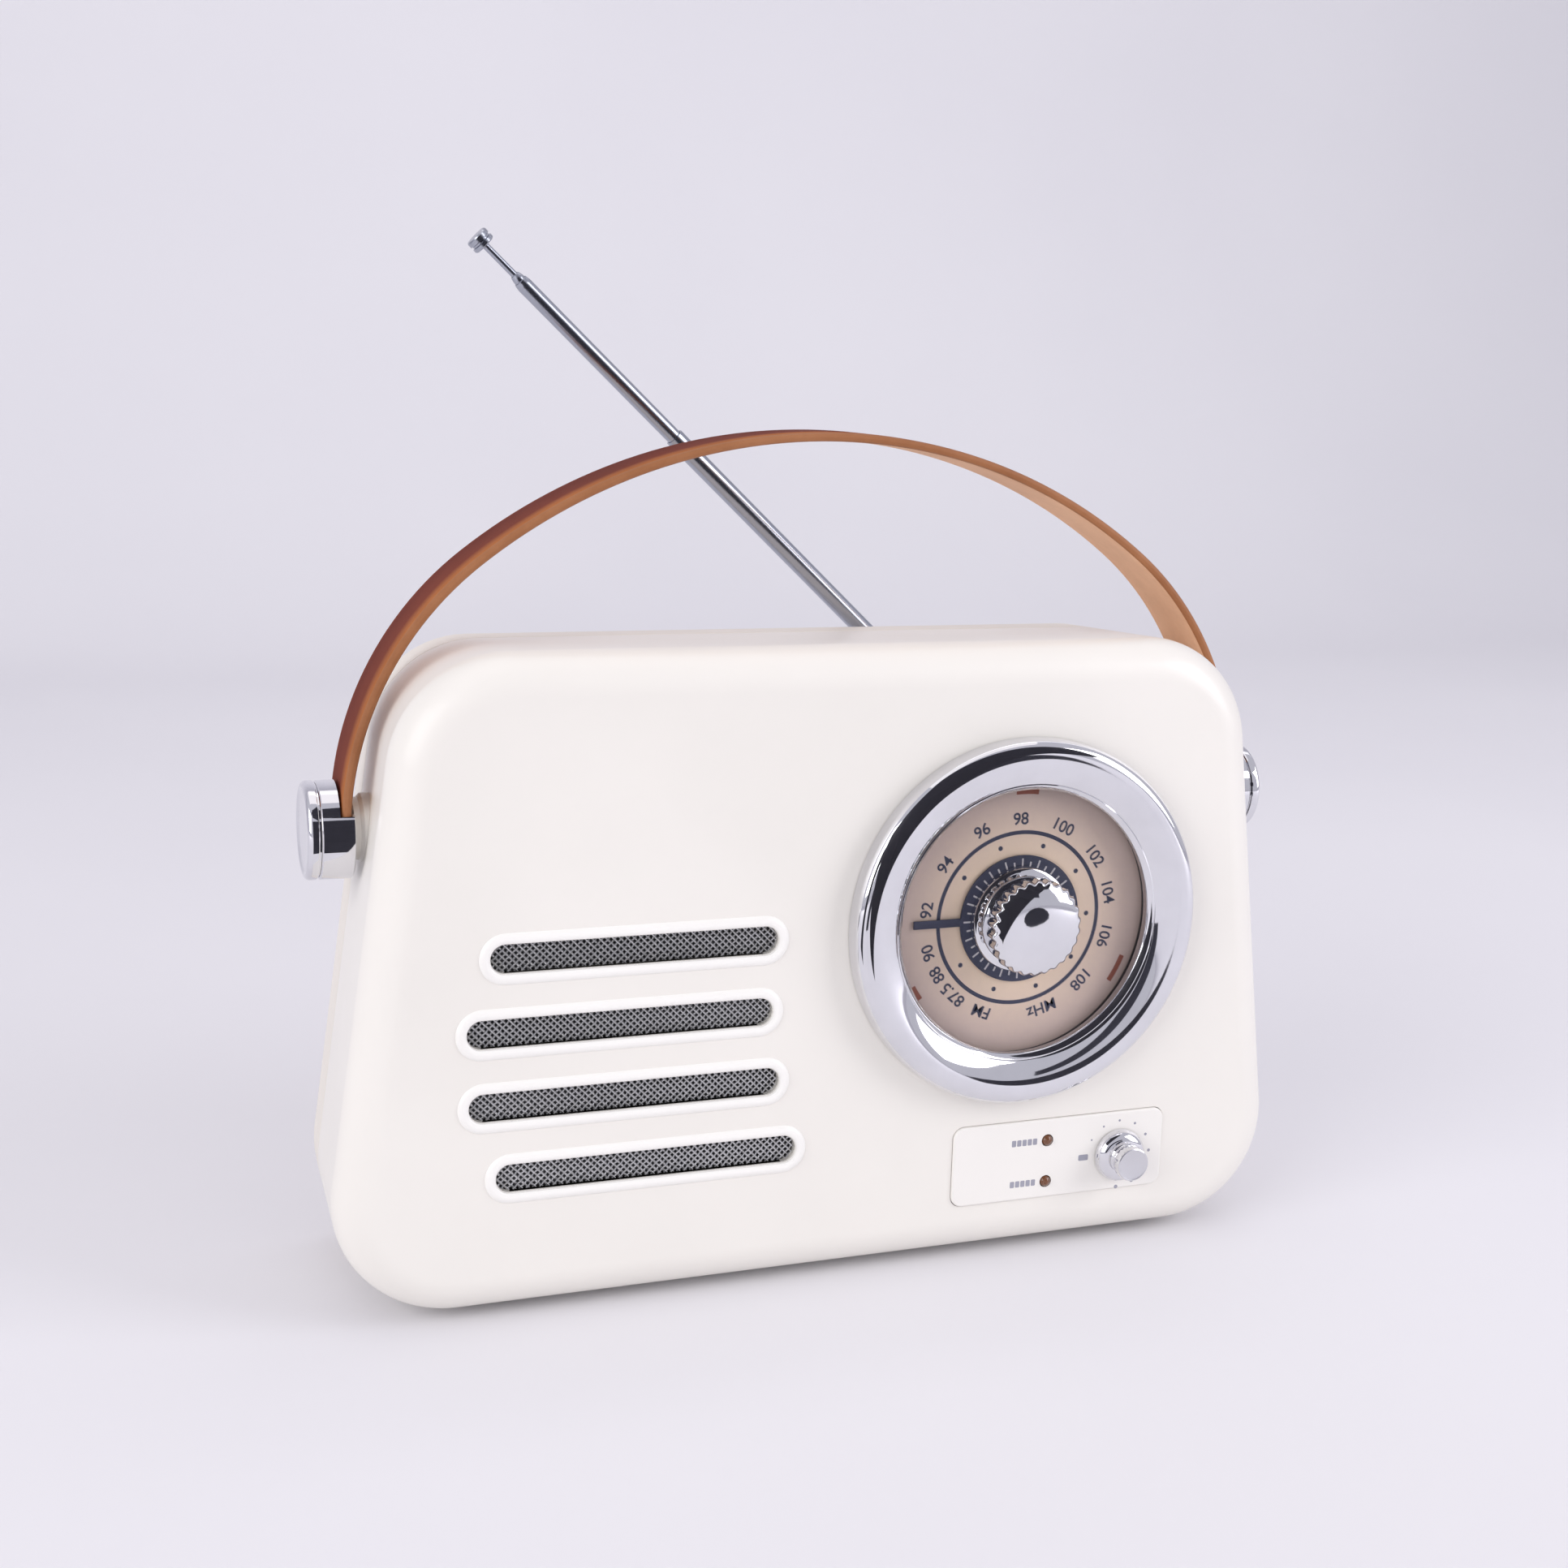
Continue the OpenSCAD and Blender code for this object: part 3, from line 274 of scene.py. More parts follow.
CREAM = (0.865, 0.835, 0.775)
look = {
    "cream": plastic("cream_plastic", CREAM, 0.36, variation=0.025, coat=0.12),
    # The rear cover is the cabinet's cream painted darker and warmer: painted shade on the top and back, with
    # a painted warm reflection of the strap.
    "cover": plastic("rear_cover_painted_shade", (0.84, 0.79, 0.71), 0.42, variation=0.03, coat=0.05),
    # The slot rims are the cabinet's cream painted lighter, a painted highlight where light catches the
    # raised rims.
    "rim": plastic("slot_rim_painted_highlight", (0.93, 0.915, 0.87), 0.3, variation=0.015, coat=0.15),
    "panel": plastic("panel_plastic", (0.89, 0.865, 0.815), 0.34, variation=0.02, coat=0.1),
    "black": plastic("black_plastic", (0.03, 0.03, 0.033), 0.5, variation=0.3),
    "print": plastic("dark_print", (0.055, 0.06, 0.1), 0.55, variation=0.25),
    "red_print": plastic("red_print", (0.34, 0.11, 0.07), 0.6, variation=0.2),
    "grey_print": plastic("grey_print", (0.36, 0.36, 0.42), 0.6, variation=0.15),
    "tick": plastic("tick_print", (0.62, 0.6, 0.6), 0.5, variation=0.2),
    "rubber": plastic("rubber", (0.03, 0.03, 0.03), 0.8, grain=3000, variation=0.3),
    "cone": plastic("cone_paper", (0.04, 0.04, 0.04), 0.85, grain=1500, variation=0.4),
    "copper": metal("copper_wire", (0.72, 0.36, 0.18), 0.3),
    "lamp": plastic("amber_lamp", (0.17, 0.06, 0.02), 0.2, variation=0.3, coat=0.6),
    "board": plastic("board_mask", (0.03, 0.14, 0.06), 0.35, grain=1200, variation=0.3, coat=0.4),
    "chip": plastic("chip_epoxy", (0.02, 0.02, 0.022), 0.55, variation=0.2),
    "sleeve": plastic("blue_sleeve", (0.02, 0.04, 0.16), 0.3, variation=0.2, coat=0.4),
    "cell": plastic("cell_sleeve", (0.06, 0.16, 0.08), 0.3, variation=0.2, coat=0.5),
    "red_wire": plastic("red_wire", (0.45, 0.03, 0.02), 0.4, variation=0.2),
    "chrome": metal("chrome", (0.8, 0.8, 0.83), 0.03),
    "drawn": metal("drawn_tube", (0.44, 0.46, 0.52), 0.22, brushed=(300, 300, 3000)),
    "satin": metal("satin_chrome", (0.74, 0.74, 0.77), 0.24, brushed=(40, 40, 4000)),
    "steel": metal("zinc_steel", (0.52, 0.52, 0.54), 0.32, 0.12, (4000, 60, 60)),
    "ferrite": metal("ferrite", (0.1, 0.1, 0.11), 0.55, 0.1),
    "weave": metal("grille_wire", (0.6, 0.6, 0.61), 0.42, 0.1),
    "cloth": woven("grille_cloth", (0.04, 0.04, 0.043), (0.1, 0.1, 0.105)),
    "card": card("dial_card", (0.86, 0.68, 0.5), (0.62, 0.49, 0.42), 34.6 * MM),
    "clear": clear("clear_lens"),
    # The outer face is painted lighter toward its front edge, a painted highlight where light from the front
    # falls on it.
    "strap_out": leather("strap_outer", (0.78, 0.76, 0.76), (1, 1, 1), 0.6, gloss=0.01, across=[
        (0.0, (0.5, 0.2, 0.075)), (0.14, (0.42, 0.15, 0.06)), (0.34, (0.22, 0.062, 0.042)),
        (0.9, (0.18, 0.05, 0.038)), (1.0, (0.3, 0.1, 0.045))]),
    "strap_in": leather("strap_inner", (0.66, 0.39, 0.24), (0.84, 0.53, 0.34), 0.62, 900),
    "strap_edge": leather("strap_edge", (0.29, 0.113, 0.046), (0.41, 0.18, 0.082), 0.42, 2500),
}

LOOK_OF_SLOT = {
    "cabinet_plastic": "cream", "panel_plastic": "panel", "black_plastic": "black",
    "pointer_black": "print", "rubber": "rubber", "mesh_cloth": "cloth", "felt": "cone",
    "steel": "steel", "ferrite": "ferrite", "cone_paper": "cone", "copper": "copper",
    "chrome": "chrome", "clear": "clear", "dial_card": "card", "lamp": "lamp", "pcb": "board",
    "chip": "chip", "capacitor": "sleeve", "battery": "cell", "wire_red": "red_wire",
    "wire_black": "black", "leather": "strap_out",
}

# Nodes whose look differs from the rest of their slot: the rear cover and battery door take a darker, warmer
# cream, painted shade with a painted warm reflection of the strap, and the first antenna tube takes the drawn
# finish.
LOOK_OF_NODE = {"rear_cover": "cover", "battery_door": "cover", "antenna_tube_1": "drawn"}

# ------------------------------------------------------------------ mesh helpers


def smooth_group(limit=32):
    """Nodes that shade a mesh smooth except along edges sharper than the limit."""
    group = bpy.data.node_groups.new("smooth_by_angle", "GeometryNodeTree")
    group.interface.new_socket("Geometry", in_out="INPUT", socket_type="NodeSocketGeometry")
    group.interface.new_socket("Geometry", in_out="OUTPUT", socket_type="NodeSocketGeometry")
    start = group.nodes.new("NodeGroupInput")
    end = group.nodes.new("NodeGroupOutput")
    angle = group.nodes.new("GeometryNodeInputMeshEdgeAngle")
    sharp = group.nodes.new("FunctionNodeCompare")
    sharp.data_type = "FLOAT"
    sharp.operation = "LESS_EQUAL"
    sharp.inputs[1].default_value = math.radians(limit)
    faces = group.nodes.new("GeometryNodeSetShadeSmooth")
    edges = group.nodes.new("GeometryNodeSetShadeSmooth")
    edges.domain = "EDGE"
    link = group.links.new
    link(start.outputs[0], faces.inputs["Geometry"])
    link(faces.outputs["Geometry"], edges.inputs["Geometry"])
    link(angle.outputs["Unsigned Angle"], sharp.inputs[0])
    link(sharp.outputs["Result"], edges.inputs["Shade Smooth"])
    link(edges.outputs["Geometry"], end.inputs[0])
    return group


SMOOTH = smooth_group()


def shade(obj):
    """Smooth shading with true edges, and flat faces kept flat."""
    obj.modifiers.new("smooth", "NODES").node_group = SMOOTH
    weighted = obj.modifiers.new("weighted", "WEIGHTED_NORMAL")
    weighted.keep_sharp = True


def piece(name, verts, faces, body, slot, *looks):
    """A mesh that rides on a body of the frame, with its looks."""
    mesh = bpy.data.meshes.new(name)
    mesh.from_pydata(verts, [], faces)
    mesh.validate()
    bm = bmesh.new()
    bm.from_mesh(mesh)
    bmesh.ops.recalc_face_normals(bm, faces=bm.faces)
    bm.to_mesh(mesh)
    bm.free()
    obj = bpy.data.objects.new(name, mesh)
    bpy.context.scene.collection.objects.link(obj)
    for key in looks:
        mesh.materials.append(look[key])
    shade(obj)
    if body:
        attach(obj, body)
    return obj


def rings_to_faces(rings, count, closed_ends=True, wrap=False):
    """Quads between rings of equal count, and an end face at each end."""
    faces = []
    for i in range(rings if wrap else rings - 1):
        j = (i + 1) % rings
        for k in range(count):
            n = (k + 1) % count
            faces.append((i * count + k, i * count + n, j * count + n, j * count + k))
    if closed_ends and not wrap:
        faces.append(tuple(range(count)))
        faces.append(tuple((rings - 1) * count + k for k in range(count)))
    return faces


def lathe(name, profile, origin, axis, body, slot, *looks, steps=128, ripple=None):
    """Turns a profile of (radius, height) in mm about an axis through origin.
    A profile that ends where it starts makes a ring, any other gets an end face at each end.
    ripple(radius, height, angle) may return another radius."""
    turn = Vector((0, 0, 1)).rotation_difference(Vector(axis)).to_matrix()
    verts = []
    for radius, height in profile:
        for k in range(steps):
            a = 2 * math.pi * k / steps
            r = ripple(radius, height, a) if ripple else radius
            flat = Vector((r * math.cos(a), r * math.sin(a), height)) * MM
            verts.append(Vector(origin) + turn @ flat)
    closed = profile[0] == profile[-1]
    if closed:
        verts = verts[:-steps]
        faces = rings_to_faces(len(profile) - 1, steps, wrap=True)
    else:
        faces = rings_to_faces(len(profile), steps)
    return piece(name, verts, faces, body, slot, *looks)


def arc(cx, cy, r, a0, a1, steps):
    """Points along a circle from one angle to another, in degrees."""
    angles = [a0 + (a1 - a0) * i / steps for i in range(steps + 1)]
    return [(cx + r * math.cos(math.radians(a)), cy + r * math.sin(math.radians(a))) for a in angles]


def stadium(x0, x1, z, h, steps=16):
    """Outline of a bar with round ends, in mm."""
    r = h / 2
    return arc(x1 - r, z, r, -90, 90, steps) + arc(x0 + r, z, r, 90, 270, steps)


def prism(name, outline, y0, y1, body=None, slot=None, *looks):
    """An outline of (x, z) in mm, drawn out from depth y0 to y1."""
    verts = [at(x, y, z) for y in (y0, y1) for x, z in outline]
    return piece(name, verts, rings_to_faces(2, len(outline)), body, slot, *looks)


def cut(obj, cutters):
    """Cuts the cutters out of obj and removes them."""
    for cutter in cutters:
        boolean = obj.modifiers.new("cut", "BOOLEAN")
        boolean.operation = "DIFFERENCE"
        boolean.solver = "EXACT"
        boolean.object = cutter
    # The shading is taken off while the cuts are made, and put back after them.
    shading = [m.name for m in obj.modifiers if m.type != "BOOLEAN"]
    for name in shading:
        obj.modifiers.remove(obj.modifiers[name])
    graph = bpy.context.evaluated_depsgraph_get()
    graph.update()
    obj.data = bpy.data.meshes.new_from_object(obj.evaluated_get(graph))
    obj.modifiers.clear()
    for cutter in cutters:
        bpy.data.objects.remove(cutter)
    shade(obj)


# ------------------------------------------------------------------ cabinet

# In mm.
CORNER_R = 29
DRAFT = 3  # how much the outline shrinks toward the back
FRONT_EDGE = 10  # the round of the front's edge
CABINET_D = 66
WALL = 2.6
SIDE_LEAN = 13.5  # how far each side leans in toward the top
BEZEL_SPIGOT_R = 38.5  # the part of the bezel that passes through the shell
PANEL_R = 3
SEAM = (SEAM_Y - FACE_Y) / MM
HALF_W = WIDTH / MM / 2
TALL = HEIGHT / MM


def outline(y, inset, steps=24):
    """The cabinet's outline at a depth, shrunk by the inset, as (x, z) in mm."""
    r = CORNER_R - DRAFT * max(0, y - FRONT_EDGE) / (CABINET_D - FRONT_EDGE)
    low_x = HALF_W - CORNER_R
    top_x = low_x - SIDE_LEAN
    top_z = TALL - CORNER_R
    lean = math.degrees(math.atan2(SIDE_LEAN, top_z - CORNER_R))
    r_in = r - inset
    corners = [(low_x, r, -90, lean), (top_x, top_z, lean, 90),
               (-top_x, top_z, 90, 180 - lean), (-low_x, r, 180 - lean, 270)]
    points = []
    for cx, cz, a0, a1 in corners:
        points += arc(cx, cz, r_in, a0, a1, steps)
    return points


def ring(y, inset):
    """The cabinet's outline as points in the frame."""
    return [at(x, y, z) for x, z in outline(y, inset)]


SLOT_H = 7
# Each slot's left end, right end and middle height, in mm.
SLOTS = [(-87.9, -12.9, 34.6), (-94.3, -17.7, 52.5), (-94.7, -19.8, 70.4), (-89.2, -18.8, 88.3)]


def cabinet_front():
    """The front shell: a soft edge round the front, a fine groove at the seam, and a hollow."""
    steps = 14
    verts = []
    depths = []
    for i in range(steps + 1):
        a = math.radians(90 * i / steps)
        depths.append((FRONT_EDGE * (1 - math.sin(a)), FRONT_EDGE * (1 - math.cos(a))))
    rings = [(y, inset) for inset, y in depths]
    rings += [(18, 0), (28, 0), (38, 0), (SEAM - 0.5, 0), (SEAM - 0.3, 0.1), (SEAM, 0.45)]
    rings += [(SEAM, WALL), (30, WALL), (FRONT_EDGE, WALL), (WALL + 2, WALL + 1.4), (WALL, WALL + 5)]
    for y, inset in rings:
        verts += ring(y, inset)
    count = len(outline(0, 0))
    shell = piece("cabinet_front", verts, rings_to_faces(len(rings), count),
                  "cabinet", "cabinet_plastic", "cream")
    cutters = [prism("slot_cutter", stadium(x0, x1, z, SLOT_H), -3, WALL + 1) for x0, x1, z in SLOTS]
    dial_r = BEZEL_SPIGOT_R + 0.1
    cutters.append(prism("dial_cutter", arc(DIAL_X_MM, DIAL_Z_MM, dial_r, 0, 354, 59), -3, WALL + 1))
    gap = 0.15
    opening = rounded(PANEL_LOW[0] - gap, PANEL_LOW[1] - gap, PANEL_HIGH[0] + gap, PANEL_HIGH[1] + gap,
                      PANEL_R + 0.1)
    cutters.append(prism("panel_cutter", opening, -3, WALL + 1))
    cut(shell, cutters)
    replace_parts(shell, "front_cabinet")


def rounded(x0, z0, x1, z1, r, steps=8):
    """Outline of a rectangle with round corners, in mm."""
    return (arc(x1 - r, z0 + r, r, -90, 0, steps) + arc(x1 - r, z1 - r, r, 0, 90, steps)
            + arc(x0 + r, z1 - r, r, 90, 180, steps) + arc(x0 + r, z0 + r, r, 180, 270, steps))


def slot_rims():
    """A soft raised rim round each slot, which rolls over into the opening."""
    rim_w = 2.7
    for number, (x0, x1, z) in enumerate(SLOTS, 1):
        profile = [(rim_w, 0.02), (rim_w - 0.25, -0.3), (rim_w - 0.75, -0.62), (rim_w - 1.3, -0.74),
                   (1.1, -0.76), (0.6, -0.68), (0.2, -0.42), (0.02, 0.1), (0, 0.7), (0, WALL),
                   (rim_w - 0.2, WALL - 0.4)]
        verts = []
        for grow, y in profile:
            verts += [at(x, y, zz) for x, zz in
                      stadium(x0 - grow, x1 + grow, z, SLOT_H + 2 * grow)]
        count = len(stadium(x0, x1, z, SLOT_H))
        # Each rim takes the lighter cream of the painted highlight.
        piece(f"slot_rim_{number}", verts, rings_to_faces(len(profile), count, wrap=True),
              "cabinet", "cabinet_plastic", "rim")


def grille_weave():
    """Two families of crossing wires behind each slot, each passing over and under the other."""
    pitch = 1.15
    wire_r = 0.27
    wave = 0.2
    sides = 5
    verts, faces = [], []
    for x0, x1, z in SLOTS:
        half = SLOT_H / 2 + 1.1
        for family in (1, -1):
            start = x0 - 2 - half
            for i in range(int((x1 - x0 + 4 + 2 * half) / (pitch * math.sqrt(2)))):
                foot = start + i * pitch * math.sqrt(2)
                steps = 16
                first = len(verts)
                for s in range(steps + 1):
                    dz = -half + 2 * half * s / steps
                    x = foot + family * dz
                    phase = math.pi * dz / (pitch * math.sqrt(2) / 2)
                    y = 2.05 + family * wave * math.cos(phase + math.pi * i)
                    for k in range(sides):
                        a = 2 * math.pi * k / sides
                        dx = wire_r * math.cos(a) * math.sqrt(0.5)
                        verts.append(at(x + dx, y + wire_r * math.sin(a), z + dz - family * dx))
                for s in range(steps):
                    for k in range(sides):
                        n = (k + 1) % sides
                        a, b = first + s * sides, first + (s + 1) * sides
                        faces.append((a + k, a + n, b + n, b + k))
                faces.append(tuple(first + k for k in range(sides)))
                faces.append(tuple(first + steps * sides + k for k in range(sides)))
    piece("grille_weave", verts, faces, "cabinet", "mesh_cloth", "weave")


def strap_seats():
    """The bosses in the cabinet's sides that the strap's barrels turn against."""
    boss_r, neck_r, bore_r = 8.4, 7.5, 3.1
    inner_x, shoulder_x, face_x = 108, 113.6, 115.8
    profile = [(boss_r, inner_x), (boss_r, shoulder_x), (neck_r, shoulder_x + 0.8), (neck_r, face_x),
               (bore_r, face_x), (bore_r, inner_x), (boss_r, inner_x)]
    for side, name in ((-1, "strap_seat_left"), (1, "strap_seat_right")):
        lathe(name, profile, (0, pivot_y, pivot_z), (side, 0, 0), "cabinet", "cabinet_plastic",
              "cream", steps=64)


# ------------------------------------------------------------------ dial and knobs


def knob_axis(x, z):
    """Origin and direction of an axis that comes straight out of the front."""
    return (x, FACE_Y, z), (0, -1, 0)


def dial_bezel():
    """The chrome ring: a rolled outer edge, a dished inner face and a lip ahead of the window."""
    origin, axis = knob_axis(dial_x, dial_z)
    crown = 6.8
    crest_r, roll_r = 43.6, 3.3
    rim_r = crest_r + roll_r
    bowl = 26  # twice the radius to which the inner face is dished
    profile = [(rim_r - 0.6, -0.02), (rim_r, 0.25), (rim_r, 1.2)]
    profile += [(crest_r + roll_r * math.cos(math.radians(a)),
                 crown - roll_r * (1 - math.sin(math.radians(a)))) for a in range(0, 91, 6)]
    profile += [(crest_r - step, crown - step * step / bowl) for step in (1, 2, 3, 4, 5, 6, 7, 7.8)]
    profile += [(35.6, 4.2), (35.35, 4.25), (34.9, 3.95), (34.4, 3.45), (34.15, 3.2), (34.0, 2.9),
                (34.1, 2.5), (34.6, 1.2), (34.6, 0.22), (36.6, 0.22), (36.6, -4.2),
                (BEZEL_SPIGOT_R, -4.2), (BEZEL_SPIGOT_R, -0.02), (rim_r - 0.6, -0.02)]
    bezel = lathe("bezel_ring", profile, origin, axis, "cabinet", "chrome", "chrome", steps=192)
    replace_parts(bezel, "dial_bezel")


DIAL_Y = 1.8  # the printed card's face
# Each word on the dial, and the angle it stands at, anticlockwise from the right.
NUMBERS = [("87.5", 227.5), ("88", 211.5), ("90", 197), ("92", 172), ("94", 144.5), ("96", 116),
           ("98", 91.5), ("100", 64), ("102", 36), ("104", 12), ("106", -14), ("108", -43), ("FM", 249),
           ("MHz", -72)]


def on_dial(radius, angle, y):
    """A point at a radius and an angle round the dial, in mm and degrees."""
    a = math.radians(angle)
    return at(DIAL_X_MM + radius * math.cos(a), y, DIAL_Z_MM + radius * math.sin(a))


def dial_print():
    """The printed ring, the dots, the numbers and three short bars near the rim."""
    lift = DIAL_Y - 0.04
    steps = 160
    ring_in, ring_out = 21.65, 22.65
    bar_in, bar_out = 31.9, 33.3
    numbers_at = 25.5
    verts = []
    for radius, y in ((ring_out, DIAL_Y), (ring_out, lift), (ring_in, lift), (ring_in, DIAL_Y)):
        verts += [on_dial(radius, 360 * k / steps, y) for k in range(steps)]
    piece("printed_ring", verts, rings_to_faces(4, steps, wrap=True), "cabinet", "dial_card", "print")

    verts, faces = [], []
    dot_r = 0.62
    dots, dots_at = 10, 19.2
    sides = 16
    for i in range(dots):
        a = math.radians(180 + 360 * i / dots)
        cx = DIAL_X_MM + dots_at * math.cos(a)
        cz = DIAL_Z_MM + dots_at * math.sin(a)
        base = len(verts)
        for y in (lift, DIAL_Y):
            verts += [at(cx + dot_r * math.cos(2 * math.pi * k / sides), y,
                         cz + dot_r * math.sin(2 * math.pi * k / sides)) for k in range(sides)]
        faces += [tuple(base + v for v in face) for face in rings_to_faces(2, sides)]
    piece("printed_dots", verts, faces, "cabinet", "dial_card", "print")

    for number, (angle, half) in enumerate(((88.5, 5.5), (213, 3.5), (-28, 6.5)), 1):
        verts = []
        for y in (lift, DIAL_Y):
            verts += [on_dial(bar_out, angle + half * t, y) for t in (-1, -0.5, 0, 0.5, 1)]
            verts += [on_dial(bar_in, angle - half * t, y) for t in (-1, -0.5, 0, 0.5, 1)]
        piece(f"printed_bar_{number}", verts, rings_to_faces(2, 10), "cabinet", "dial_card",
              "red_print")
    for word, angle in NUMBERS:
        place = on_dial(numbers_at, angle, DIAL_Y - 0.02)
        lettering("scale_" + word.replace(".", "_"), word, 3.15, place, angle - 90,
                  "cabinet", "print")


def lettering(name, word, size, place, turn, body, key):
    """Raised numbers of a height in mm, turned about the viewing direction, as a mesh."""
    capital = 1.38  # the font's size for a height of 1
    curve = bpy.data.curves.new(name, "FONT")
    curve.body = word
    curve.size = size * capital * MM
    curve.align_x = "CENTER"
    curve.align_y = "CENTER"
    curve.extrude = 0.03 * MM
    curve.offset = 0.06 * MM
    text = bpy.data.objects.new(name + "_curve", curve)
    bpy.context.scene.collection.objects.link(text)
    text.matrix_world = (Matrix.Translation(place) @ Matrix.Rotation(math.radians(90), 4, "X")
                         @ Matrix.Rotation(math.radians(turn), 4, "Z"))
    bpy.context.view_layer.update()
    mesh = bpy.data.meshes.new_from_object(text.evaluated_get(bpy.context.evaluated_depsgraph_get()))
    mesh.transform(text.matrix_world)
    bpy.data.objects.remove(text)
    obj = bpy.data.objects.new(name, mesh)
    bpy.context.scene.collection.objects.link(obj)
    mesh.materials.clear()
    mesh.materials.append(look[key])
    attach(obj, body)


def pointer_ticks():
    """Light ticks on the dark skirt that turns with the knob."""
    verts, faces = [], []
    ticks = 40
    inner = 13.6
    half = 0.22
    for i in range(ticks):
        angle = 360 / ticks * i
        outer = 15.6 if i % 2 == 0 else 14.8
        base = len(verts)
        a = math.radians(angle)
        across = Vector((-math.sin(a), 0, math.cos(a))) * half * MM
        for y in (0.9, 0.95):
            low, high = on_dial(inner, angle, y), on_dial(outer, angle, y)
            verts += [low - across, high - across, high + across, low + across]
        faces += [tuple(base + v for v in face) for face in rings_to_faces(2, 4)]
    piece("skirt_ticks", verts, faces, "tuning", "pointer_black", "tick")


def tuning_knob():
    """The chrome knob: a flange, a waist, and a toothed rim round a low dome."""
    origin, axis = knob_axis(dial_x, dial_z)
    crown = 11.2
    dome_r, dome_z = 12.3, 8.2
    teeth = 26
    profile = [(0.5, -0.93), (13.2, -0.93), (13.4, -0.75), (13.4, 0.1), (13.2, 0.42), (12.8, 0.6),
               (12.2, 0.68), (11.5, 0.8), (11.3, 1.1), (11.2, 1.6), (11.2, 4.1), (11.3, 4.5)]
    profile += [(11.75, 4.7), (12.1, 4.95), (12.3, 5.4), (12.35, 6.0), (12.35, 7.2), (dome_r, dome_z)]
    profile += [(dome_r * math.cos(math.radians(a)) ** 0.8,
                 dome_z + (crown - dome_z) * math.sin(math.radians(a))) for a in range(6, 90, 4)]
    profile += [(0.4, crown)]

    def knurl(radius, height, angle):
        """Teeth round the rim, which fade out at both ends."""
        if 4.6 < height < 9.9:
            strength = 0.7 * min(1, (height - 4.4) / 0.6, (9.95 - height) / 1.6)
            return radius - strength * (0.5 + 0.5 * math.cos(teeth * angle)) ** 1.3
        return radius

    knob = lathe("tuning_knob_cap", profile, origin, axis, "tuning", "chrome", "chrome", steps=432,
                 ripple=knurl)
    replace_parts(knob, "tuning_knob")


def volume_knob():
    """The small knob: a domed skirt, a waist, and a fluted grip with a satin face."""
    origin, axis = knob_axis(volume_x, volume_z)
    skirt_r = (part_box("volume_knob")[1][0] - volume_x) / MM
    grip_r = 4.5
    face_h = 8.84
    profile = [(0.5, 0.95), (skirt_r - 0.2, 0.95), (skirt_r, 1.15), (skirt_r, 1.7)]
    profile += [(skirt_r - 3 * (1 - math.cos(math.radians(a))), 1.7 + 2.7 * math.sin(math.radians(a)))
                for a in range(10, 91, 10)]
    profile += [(3.8, 4.6), (3.55, 5.2), (3.6, 5.7), (4.1, 6.05), (grip_r - 0.1, 6.25), (grip_r, 6.6),
                (grip_r, 8.6), (grip_r - 0.15, 8.95), (grip_r - 0.4, 9.1), (grip_r - 0.7, 9.0),
                (0.4, 8.85)]

    def flutes(radius, height, angle):
        """Fine flutes round the grip."""
        if 6.2 < height < 8.8:
            return radius - 0.09 * (0.5 + 0.5 * math.cos(24 * angle))
        return radius

    knob = lathe("volume_knob_cap", profile, origin, axis, "volume", "chrome", "chrome", steps=192,
                 ripple=flutes)
    knob.data.materials.append(look["satin"])
    for face in knob.data.polygons:
        if FACE_Y - face.center.y > face_h * MM:
            face.material_index = 1
    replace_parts(knob, "volume_knob")


LAMP_X = 56.6
LAMP_ROWS = (18.2, 29.4)


def panel_print():
    """Generic marks: short bars beside each lamp, a bar beside the knob and dots round it."""
    y0, y1 = -0.73, -0.7
    x_mid, z_mid = VOLUME_X_MM, VOLUME_Z_MM
    dots_at = 9.2
    bar_w, bar_half_h = 1.2, 0.85
    first_x, pitch = 46.4, 1.5
    for number, z in enumerate(LAMP_ROWS, 1):
        for part in range(5):
            x = first_x + pitch * part
            bar = rounded(x, z - bar_half_h, x + bar_w, z + bar_half_h, 0.25, 3)
            prism(f"label_{number}_{part}", bar, y0, y1, "cabinet", "panel_plastic", "grey_print")
    prism("off_mark", rounded(x_mid - 11.6, z_mid - 0.8, x_mid - 8.8, z_mid + 0.8, 0.3, 3), y0, y1,
          "cabinet", "panel_plastic", "grey_print")
    for i in range(9):
        a = math.radians(150 - 30 * i)
        dot = arc(x_mid + dots_at * math.cos(a), z_mid + dots_at * math.sin(a), 0.25 + 0.035 * i,
                  0, 330, 11)
        prism(f"volume_dot_{i}", dot, y0, y1, "cabinet", "panel_plastic", "grey_print")


def soft_panel():
    """The control panel with a softened edge."""
    low_x, low_z = PANEL_LOW
    high_x, high_z = PANEL_HIGH
    verts = []
    edge = [(0, 0.9), (0, -0.25), (0.1, -0.5), (0.3, -0.66), (0.6, -0.7)]
    for inset, y in edge:
        verts += [at(x, y, z) for x, z in
                  rounded(low_x + inset, low_z + inset, high_x - inset, high_z - inset,
                          PANEL_R - inset)]
    count = len(rounded(0, 0, 20, 20, PANEL_R))
    panel = piece("panel_plate", verts, rings_to_faces(len(edge), count), "cabinet",
                  "panel_plastic", "panel")
    holes = [(VOLUME_X_MM, VOLUME_Z_MM, 3.6)] + [(LAMP_X, z, 1.65) for z in LAMP_ROWS]
    cut(panel, [prism("hole_cutter", arc(x, z, r, 0, 350, 35), -2, 2) for x, z, r in holes])
    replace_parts(panel, "control_panel")


# ------------------------------------------------------------------ carry strap

STRAP_HALF = 119.4
STRAP_RISE = 94.8
STRAP_T = 2.3
SIDE_ARC = 82
TONGUE = 4.3


